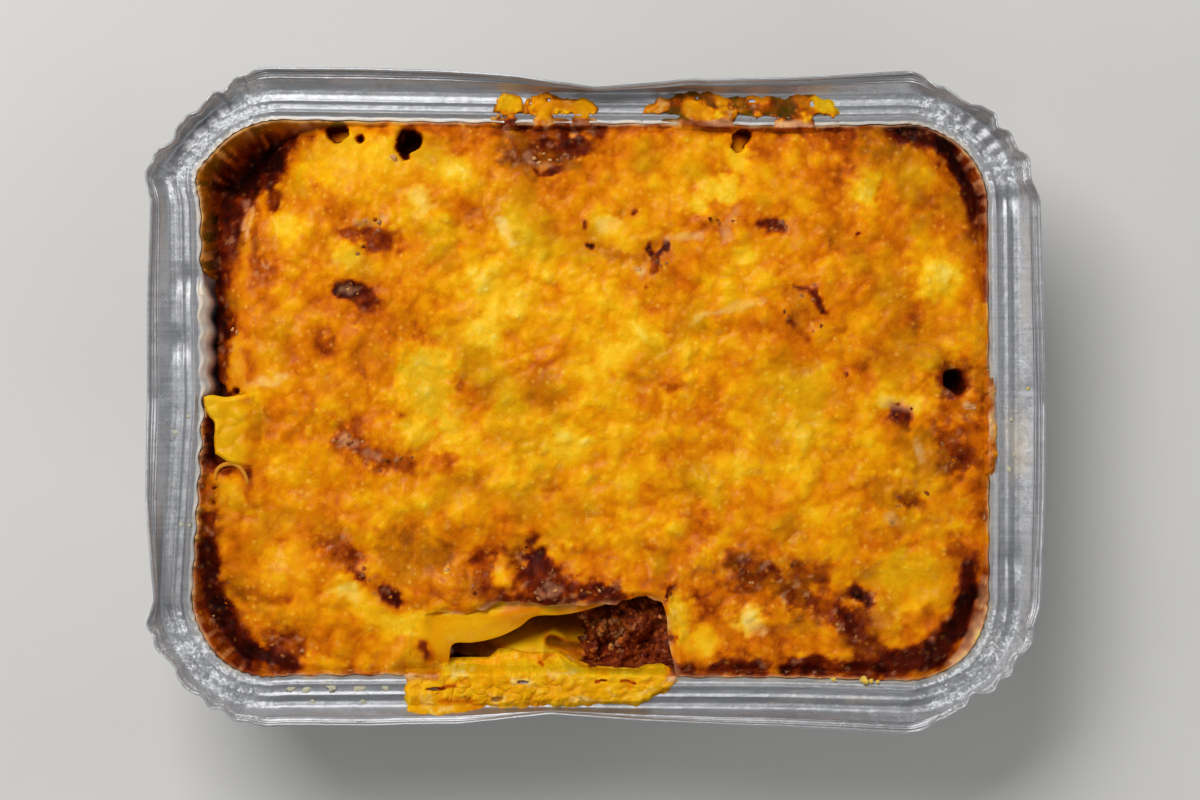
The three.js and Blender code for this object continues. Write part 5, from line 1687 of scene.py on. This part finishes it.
def new_group(name, inputs, *outputs):
    """An empty node group whose named inputs and outputs are numbers. Returns its tree and the nodes that
    hold its inputs and outputs."""
    tree = bpy.data.node_groups.new(name, "ShaderNodeTree")
    number = "NodeSocketFloat"
    for label, value in inputs.items():
        tree.interface.new_socket(name=label, in_out="INPUT", socket_type=number).default_value = value
    for label in outputs:
        tree.interface.new_socket(name=label, in_out="OUTPUT", socket_type=number)
    return tree, node(tree, "NodeGroupInput"), node(tree, "NodeGroupOutput")


def placed(tree, group, inputs):
    """A group in a material, with its values there."""
    return node(tree, "ShaderNodeGroup", inputs, node_tree=group)


def times(tree, *values):
    """The product of two values or outputs."""
    return math_node(tree, "MULTIPLY", *values)


def mapped(tree, inputs, **settings):
    """A value moved from one range to another."""
    return node(tree, "ShaderNodeMapRange", inputs, **settings).outputs["Result"]


MM_PER_METRE = 1000.0


def pattern_place(tree, given):
    """The place on the piece, and the scale of a pattern whose size is given in millimetres."""
    place = node(tree, "ShaderNodeTexCoord").outputs["Object"]
    return place, math_node(tree, "DIVIDE", MM_PER_METRE, given.outputs["Size"])


def cell_noise(tree, given):
    """Cells of a size in millimetres, and the place itself."""
    place, scale = pattern_place(tree, given)
    return place, node(tree, "ShaderNodeTexVoronoi", {"Vector": place, "Scale": scale})


def crumb_group():
    """Fine lumps of food: noise at two sizes, from -0.5 to 0.5, and a height for bumps."""
    tree, given, result = new_group("crumb", {"Size": 1.0, "Seed": 0.0}, "Broad", "Fine", "Height")
    place, scale = pattern_place(tree, given)
    seed = given.outputs["Seed"]
    noise = {"Vector": place, "W": seed, "Detail": 3.0, "Roughness": 0.6}
    broad = node(tree, "ShaderNodeTexNoise", {**noise, "Scale": scale}, noise_dimensions="4D").outputs["Fac"]
    finer = times(tree, scale, 3.1)
    fine = node(tree, "ShaderNodeTexNoise", {**noise, "Scale": finer}, noise_dimensions="4D").outputs["Fac"]
    cells = node(tree, "ShaderNodeTexVoronoi", {"Vector": place, "Scale": times(tree, scale, 1.6)})
    dome = math_node(tree, "SUBTRACT", 0.7, cells.outputs["Distance"])
    height = math_node(tree, "MULTIPLY_ADD", fine, 0.5, math_node(tree, "MULTIPLY_ADD", dome, 0.6, broad))
    tree.links.new(math_node(tree, "SUBTRACT", broad, 0.5), result.inputs["Broad"])
    tree.links.new(math_node(tree, "SUBTRACT", fine, 0.5), result.inputs["Fine"])
    tree.links.new(height, result.inputs["Height"])
    return tree


def speckle_group():
    """Scattered specks: 1 in each speck, where noise rises over a level."""
    tree, given, result = new_group("speckle", {"Size": 1.0, "Amount": 0.3}, "Mask")
    place, scale = pattern_place(tree, given)
    noise = {"Vector": place, "Scale": scale, "Detail": 2.0, "Roughness": 0.55}
    value = node(tree, "ShaderNodeTexNoise", noise).outputs["Fac"]
    level = math_node(tree, "SUBTRACT", 0.86, times(tree, given.outputs["Amount"], 0.5))
    rising = {"Value": value, "From Min": level, "From Max": math_node(tree, "ADD", level, 0.07)}
    tree.links.new(mapped(tree, rising, clamp=True), result.inputs["Mask"])
    return tree


def curd_and_glint_group():
    """Small round spots, for pale curdled bits and painted glints: 1 at the middle of some randomly chosen
    cells, falling smoothly to 0.
    """
    tree, given, result = new_group("curd_and_highlight", {"Size": 1.0, "Share": 0.3}, "Mask")
    _, cells = cell_noise(tree, given)
    falling = {"Value": cells.outputs["Distance"], "From Min": 0.46, "From Max": 0.08}
    dome = mapped(tree, falling, interpolation_type="SMOOTHSTEP")
    random = node(tree, "ShaderNodeSeparateColor", {"Color": cells.outputs["Color"]}).outputs[0]
    level = math_node(tree, "SUBTRACT", 1.0, given.outputs["Share"])
    chosen = {"Value": random, "From Min": level, "From Max": math_node(tree, "ADD", level, 0.2)}
    tree.links.new(times(tree, dome, mapped(tree, chosen, clamp=True)), result.inputs["Mask"])
    return tree


def facet_group():
    """Facets of crushed foil: each cell is a plane with a tilt of its own. Its height is in millimetres."""
    tree, given, result = new_group("facets", {"Size": 1.0}, "Height")
    place, cells = cell_noise(tree, given)

    def vectors(operation, first, second):
        """The outputs of a sum on two vectors."""
        return node(tree, "ShaderNodeVectorMath", {0: first, 1: second}, operation=operation).outputs

    away = vectors("SUBTRACT", place, cells.outputs["Position"])[0]
    tilt = vectors("SUBTRACT", cells.outputs["Color"], (0.5, 0.5, 0.5))[0]
    height = vectors("DOT_PRODUCT", away, tilt)["Value"]
    tree.links.new(times(tree, height, MM_PER_METRE), result.inputs["Height"])
    return tree


CRUMB = crumb_group()
SPECKLE = speckle_group()
CURD_AND_GLINT = curd_and_glint_group()
FACETS = facet_group()


def crumbly(tree, size, seed):
    """The crumb group in a material."""
    return placed(tree, CRUMB, {"Size": size, "Seed": seed})


def bumped(tree, strength, distance, height):
    """The normal of a surface with small bumps."""
    inputs = {"Strength": strength, "Distance": distance, "Height": height}
    return node(tree, "ShaderNodeBump", inputs).outputs["Normal"]


def linear(red, green, blue):
    """A colour from 0 to 255 as it looks, as the light it sends back."""
    parts = [c / 255 for c in (red, green, blue)]
    return (*[c / 12.92 if c < 0.04045 else ((c + 0.055) / 1.055) ** 2.4 for c in parts], 1.0)


def new_material(name):
    """A material with an empty tree, its shader and its output."""
    material = bpy.data.materials.new(name)
    material.use_nodes = True
    tree = material.node_tree
    tree.nodes.clear()
    shader = node(tree, "ShaderNodeBsdfPrincipled")
    node(tree, "ShaderNodeOutputMaterial", {"Surface": shader.outputs["BSDF"]})
    return material, tree, shader


# The crust's colours as they look, from cream to burnt
CHEESE_TONES = [
    (0.0, (253, 216, 96)), (0.1, (248, 196, 36)), (0.22, (243, 177, 10)), (0.34, (236, 156, 3)),
    (0.46, (224, 131, 2)), (0.56, (207, 106, 2)), (0.66, (172, 76, 3)), (0.76, (128, 42, 3)),
    (0.87, (82, 18, 3)), (1.0, (32, 6, 3)),
]
# The cream mask's colours: set fat, and the painted highlights and glints that the cream marks also lay
# down.
FAT_AND_HIGHLIGHT_TONES = [(0.4, (246, 206, 116)), (0.62, (238, 188, 134)), (0.85, (208, 140, 100))]


def colour_ramp(tree, value, tones):
    """A colour ramp from a list of places and colours."""
    ramp = node(tree, "ShaderNodeValToRGB", {"Fac": value})
    stops = ramp.color_ramp.elements
    for place, _ in tones[1:-1]:
        stops.new(place)
    for stop, (place, colour) in zip(stops, tones):
        stop.position = place
        stop.color = linear(*colour)
    return ramp.outputs["Color"]


def cheese_material(name, size, relief, specks, curds_and_glints):
    """Baked cheese or bare pasta: tone on the ramp, changed by fine lumps, olive and cream tints, pale
    curdled bits that are partly painted highlights and small painted glints, both in patches, brown specks,
    and a film of oil that makes it glossy in places."""
    material, tree, shader = new_material(name)
    crumb = crumbly(tree, size, 1.0)
    small = crumbly(tree, size * 0.38, 4.0)
    patches = crumbly(tree, size * 5, 11.0)
    # Pale curdled bits, partly painted highlights, and small painted glints.
    curd_and_highlight = placed(tree, CURD_AND_GLINT, {"Size": size * 1.1, "Share": 0.4}).outputs["Mask"]
    painted_glint = placed(tree, CURD_AND_GLINT, {"Size": size * 0.45, "Share": 0.16}).outputs["Mask"]
    tone = math_node(tree, "MULTIPLY_ADD", crumb.outputs["Broad"], -0.17, attribute(tree, "tone"))
    tone = math_node(tree, "MULTIPLY_ADD", small.outputs["Broad"], -0.1, tone)
    tone = math_node(tree, "MULTIPLY_ADD", curd_and_highlight, -0.07, tone, clamp=True)
    colour = colour_ramp(tree, tone, CHEESE_TONES)
    olive = times(tree, attribute(tree, "olive"), 0.65)
    green = mix_colours(tree, 0.4, colour, linear(168, 170, 60), "MULTIPLY")
    colour = mix_colours(tree, olive, colour, green)
    colour = mix_colours(tree, times(tree, olive, 0.4), colour, linear(176, 146, 10))
    fat_and_highlight = colour_ramp(tree, tone, FAT_AND_HIGHLIGHT_TONES)
    colour = mix_colours(tree, attribute(tree, "cream"), colour, fat_and_highlight)
    rising = {"Value": patches.outputs["Broad"], "From Min": -0.12, "From Max": 0.12}
    patchy = mapped(tree, rising, clamp=True)
    falling = mapped(tree, {"Value": tone, "From Min": 0.85, "From Max": 0.45, "To Min": 0.25})
    pale = times(tree, patchy, falling)
    # The pale bits and the painted glints, mixed in patches over the lighter tones.
    for mask, tint in ((curd_and_highlight, linear(253, 204, 84)), (painted_glint, linear(255, 226, 140))):
        colour = mix_colours(tree, times(tree, times(tree, mask, pale), 0.28 * curds_and_glints), colour, tint)
    spots = placed(tree, SPECKLE, {"Size": size * 1.4, "Amount": specks}).outputs["Mask"]
    colour = mix_colours(tree, times(tree, spots, 0.55), colour, linear(150, 62, 10))
    oil = attribute(tree, "oil")
    moist = mapped(tree, {"Value": tone, "From Min": 0.35, "From Max": 0.8, "To Min": 0.17, "To Max": 0.03})
    rough = math_node(tree, "MULTIPLY_ADD", crumb.outputs["Fine"], 0.3, 0.52)
    rough = math_node(tree, "MULTIPLY_ADD", oil, -0.16, rough)
    height = math_node(tree, "MULTIPLY_ADD", small.outputs["Broad"], 0.35, crumb.outputs["Broad"])
    height = math_node(tree, "MULTIPLY_ADD", curd_and_highlight, 0.4, height)
    height = math_node(tree, "MULTIPLY_ADD", painted_glint, 0.2, height)
    normal = bumped(tree, relief, 0.0008, height)
    joined(tree, shader, {
        "Base Color": colour,
        "Roughness": rough,
        "Specular IOR Level": 0.03,
        "Coat Weight": times(tree, oil, moist),
        "Coat Roughness": 0.26,
        "Coat IOR": 1.4,
        "Subsurface Weight": 0.4,
        "Subsurface Radius": (0.003, 0.0012, 0.0003),
        "Subsurface Scale": 0.7,
        "Normal": normal,
    })
    return material


def light_share(tree, wide, change, middle, fine, fine_change):
    """How light the grains of meat are: a middle value, changed by wide and by fine crumbs."""
    share = math_node(tree, "MULTIPLY_ADD", wide.outputs["Broad"], change, middle)
    return math_node(tree, "MULTIPLY_ADD", fine.outputs["Broad"], fine_change, share, clamp=True)


def mince_material(name):
    """Mince in dark tomato sauce: dark maroon between the grains, the sauce's juices and in the low places
    painted shade, brown meat grains and pale dots of fat, wet and glossy.
    """
    material, tree, shader = new_material(name)
    crumb, small = crumbly(tree, 1.3, 2.0), crumbly(tree, 0.5, 6.0)
    share = light_share(tree, crumb, 1.5, 0.45, small, 0.7)
    tones = [(0.0, (62, 14, 3)), (0.4, (118, 42, 8)), (0.7, (180, 88, 24)), (1.0, (226, 146, 60))]
    meat = colour_ramp(tree, share, tones)
    juice_and_shade = mix_colours(tree, share, linear(44, 6, 3), linear(150, 38, 8))
    # This dark maroon paints the juices and, in the low places, painted shade.
    colour = mix_colours(tree, times(tree, attribute(tree, "juice_and_shade"), 0.7), meat, juice_and_shade)
    fat = times(tree, attribute(tree, "fat"), 0.7)
    colour = mix_colours(tree, fat, colour, linear(208, 124, 62))
    height = math_node(tree, "MULTIPLY_ADD", small.outputs["Height"], 0.5, crumb.outputs["Height"])
    normal = bumped(tree, 0.8, 0.0008, height)
    joined(tree, shader, {
        "Base Color": colour,
        "Roughness": math_node(tree, "MULTIPLY_ADD", crumb.outputs["Fine"], 0.5, 0.42),
        "Specular IOR Level": 0.1,
        "Coat Weight": math_node(tree, "MULTIPLY_ADD", attribute(tree, "juice_and_shade"), 0.2, 0.03),
        "Coat Roughness": 0.1,
        "Normal": normal,
    })
    return material


def sauce_material(name):
    """The lowest layer, meat and sauce pressed against the foil, on the part's own solid."""
    material, tree, shader = new_material(name)
    crumb, small = crumbly(tree, 2.2, 3.0), crumbly(tree, 0.8, 8.0)
    share = light_share(tree, crumb, 1.6, 0.5, small, 0.6)
    tones = [(0.0, (58, 12, 4)), (0.45, (98, 32, 8)), (0.75, (136, 60, 16)), (1.0, (186, 120, 48))]
    height = math_node(tree, "MULTIPLY_ADD", small.outputs["Height"], 0.4, crumb.outputs["Height"])
    normal = bumped(tree, 0.7, 0.001, height)
    joined(tree, shader, {
        "Base Color": colour_ramp(tree, share, tones),
        "Roughness": math_node(tree, "MULTIPLY_ADD", crumb.outputs["Fine"], 0.4, 0.42),
        "Normal": normal,
    })
    return material


def foil_material(name):
    """Rolled aluminium foil: metal darker than clean aluminium, which paints in a dark reflection of the
    room, with fine rolling streaks, small creases and facets where it is crushed, a brown film of baked
    juices inside the wall, and pale smears of fat on the rim, which along the lip are also a painted
    highlight and on the bare shoulder only a painted highlight."""
    material, tree, shader = new_material(name)
    place = node(tree, "ShaderNodeTexCoord").outputs["Object"]
    stretched = node(tree, "ShaderNodeMapping", {"Vector": place, "Scale": (60.0, 1500.0, 60.0)})
    rolled = {"Vector": stretched.outputs["Vector"], "Scale": 1.0, "Detail": 2.0}
    streaks = node(tree, "ShaderNodeTexNoise", rolled).outputs["Fac"]
    crease = crumbly(tree, 3.2, 5.0)
    film = crumbly(tree, 1.6, 7.0)

    def patchy(mask, change, level, strength):
        """A mask that noise breaks up into patches, less a level."""
        mask = math_node(tree, "MULTIPLY_ADD", film.outputs["Broad"], change, attribute(tree, mask))
        mask = math_node(tree, "SUBTRACT", mask, level, clamp=True)
        return math_node(tree, "MULTIPLY", mask, strength, clamp=True)

    stain, smear_and_highlight = patchy("film", 1.2, 0.12, 1.2), patchy("smear_and_highlight", 0.6, 0.16, 0.9)
    # The metal's greys are darker than clean aluminium: a painted dark reflection of the room.
    metal = mix_colours(tree, streaks, linear(148, 149, 152), linear(186, 186, 188))
    crush = attribute(tree, "crush")
    metal = mix_colours(tree, times(tree, crush, 0.6), metal, linear(212, 213, 215))
    tones = [(0.2, (104, 58, 16)), (0.6, (158, 110, 46)), (1.0, (196, 150, 84))]
    brown = colour_ramp(tree, film.outputs["Height"], tones)
    colour = mix_colours(tree, times(tree, stain, 0.92), metal, brown)
    # Pale marks: set fat on the rim, and a painted highlight along the lip and on the bare shoulder.
    colour = mix_colours(tree, times(tree, smear_and_highlight, 0.8), colour, linear(234, 212, 180))
    covered = math_node(tree, "MAXIMUM", times(tree, stain, 0.8), times(tree, smear_and_highlight, 0.55))
    rough = math_node(tree, "MULTIPLY_ADD", streaks, 0.12, 0.45)
    rough = math_node(tree, "MULTIPLY_ADD", covered, 0.25, rough)
    rough = math_node(tree, "MULTIPLY_ADD", crush, 0.14, rough)
    wide = placed(tree, FACETS, {"Size": 1.3}).outputs["Height"]
    narrow = placed(tree, FACETS, {"Size": 0.5}).outputs["Height"]
    facets = math_node(tree, "MULTIPLY_ADD", narrow, 1.5, wide)
    height = times(tree, facets, times(tree, crush, 0.36))
    height = math_node(tree, "MULTIPLY_ADD", streaks, 0.006, height)
    height = math_node(tree, "MULTIPLY_ADD", crease.outputs["Height"], 0.05, height)
    normal = bumped(tree, 1.0, 0.001, height)
    joined(tree, shader, {
        "Base Color": colour,
        "Metallic": math_node(tree, "SUBTRACT", 1.0, covered),
        "Roughness": rough,
        "Normal": normal,
    })
    return material


def fat_material(name):
    """Set fat: pale beige, waxy and slightly uneven."""
    material, tree, shader = new_material(name)
    crumb = crumbly(tree, 0.8, 12.0)
    share = math_node(tree, "ADD", crumb.outputs["Broad"], 0.5)
    joined(tree, shader, {
        "Base Color": mix_colours(tree, share, linear(168, 160, 134), linear(208, 198, 168)),
        "Roughness": 0.42,
        "Subsurface Weight": 0.1,
        "Subsurface Scale": 0.001,
        "Normal": bumped(tree, 0.4, 0.0003, crumb.outputs["Height"]),
    })
    return material


def finish_with(piece, material):
    """Gives a piece one material."""
    piece.data.materials.clear()
    piece.data.materials.append(material)


def make_all():
    """Every piece with its material."""
    cheese = cheese_material("baked_cheese_look", 1.5, 0.42, 0.18, 1.0)
    pasta = cheese_material("pasta_look", 2.6, 0.2, 0.08, 0.2)
    mince = mince_material("mince_look")
    finish_with(make_tray(), foil_material("foil_look"))
    finish_with(make_crust(), cheese)
    finish_with(make_upper_sheet(), pasta)
    finish_with(make_lower_sheet(), pasta)
    finish_with(make_sauce(), mince)
    finish_with(make_tab(), pasta)
    finish_with(make_edge_fold(), pasta)
    for name, spill in SPILLS.items():
        finish_with(make_spill(name, spill), cheese)
    grains, crumbs, drops = make_small_pieces()
    finish_with(grains, cheese)
    finish_with(crumbs, cheese)
    finish_with(drops, fat_material("fat_look"))
    finish_with(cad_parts["meat_sauce_lower"], sauce_material("lower_sauce_look"))


# Floor, light and camera


def floor_material():
    """A plain pale matt floor, barely uneven in tone."""
    material, tree, shader = new_material("floor_look")
    crumb = crumbly(tree, 60.0, 9.0)
    share = math_node(tree, "ADD", crumb.outputs["Broad"], 0.5)
    colour = mix_colours(tree, share, linear(206, 204, 200), linear(212, 210, 207))
    joined(tree, shader, {"Base Color": colour, "Roughness": 0.8})
    return material


FLOOR_HALF, FLOOR_POINTS, FLOOR_Z = 3000, 9, -0.4


def make_floor():
    """A flat square under the tray."""
    grid = np.linspace(-FLOOR_HALF, FLOOR_HALF, FLOOR_POINTS)
    x, y = np.meshgrid(grid, grid)
    points = np.stack([x, y, np.full(x.shape, FLOOR_Z)], -1)
    floor = make_mesh("floor", points, [grid_faces(FLOOR_POINTS, FLOOR_POINTS)])
    finish_with(floor, floor_material())


AIM = (0, 0, 0.03)  # the lights look at the middle of the tray


def soft_light(name, place, size, power):
    """A rectangular white area light at a place, turned to the tray."""
    lamp = bpy.data.lights.new(name, "AREA")
    lamp.shape = "RECTANGLE"
    lamp.size, lamp.size_y = size
    lamp.energy = power
    holder = bpy.data.objects.new(name, lamp)
    bpy.context.scene.collection.objects.link(holder)
    holder.location = place
    away = Vector(place) - Vector(AIM)
    holder.rotation_euler = away.to_track_quat("Z", "Y").to_euler()


def make_lights():
    """A grey room, a large soft window at the back left, and weaker fills."""
    world = bpy.data.worlds.new("room")
    bpy.context.scene.world = world
    world.use_nodes = True
    light = world.node_tree.nodes["Background"].inputs
    light["Color"].default_value = (0.9, 0.95, 1.0, 1)
    light["Strength"].default_value = 0.15
    soft_light("window", (-0.3, 0.5, 0.8), (0.6, 0.4), 8.4)
    soft_light("front_fill", (0.3, -0.75, 0.45), (0.5, 0.25), 1.5)
    soft_light("right_fill", (0.8, 0.1, 0.35), (0.25, 0.4), 1.1)
    soft_light("left_fill", (-0.8, -0.1, 0.3), (0.25, 0.4), 1.2)


def make_camera():
    """The photograph's view: straight down, with the tray's rim where the picture has it."""
    lens = bpy.data.cameras.new("camera")
    lens.lens = 84.5
    lens.sensor_width = 36
    camera = bpy.data.objects.new("camera", lens)
    bpy.context.scene.collection.objects.link(camera)
    camera.location = (0.000837, 0.000132, 0.636)
    bpy.context.scene.camera = camera


make_all()
make_floor()
make_lights()
make_camera()
bpy.context.scene.view_settings.view_transform = "Standard"

bpy.context.view_layer.update()
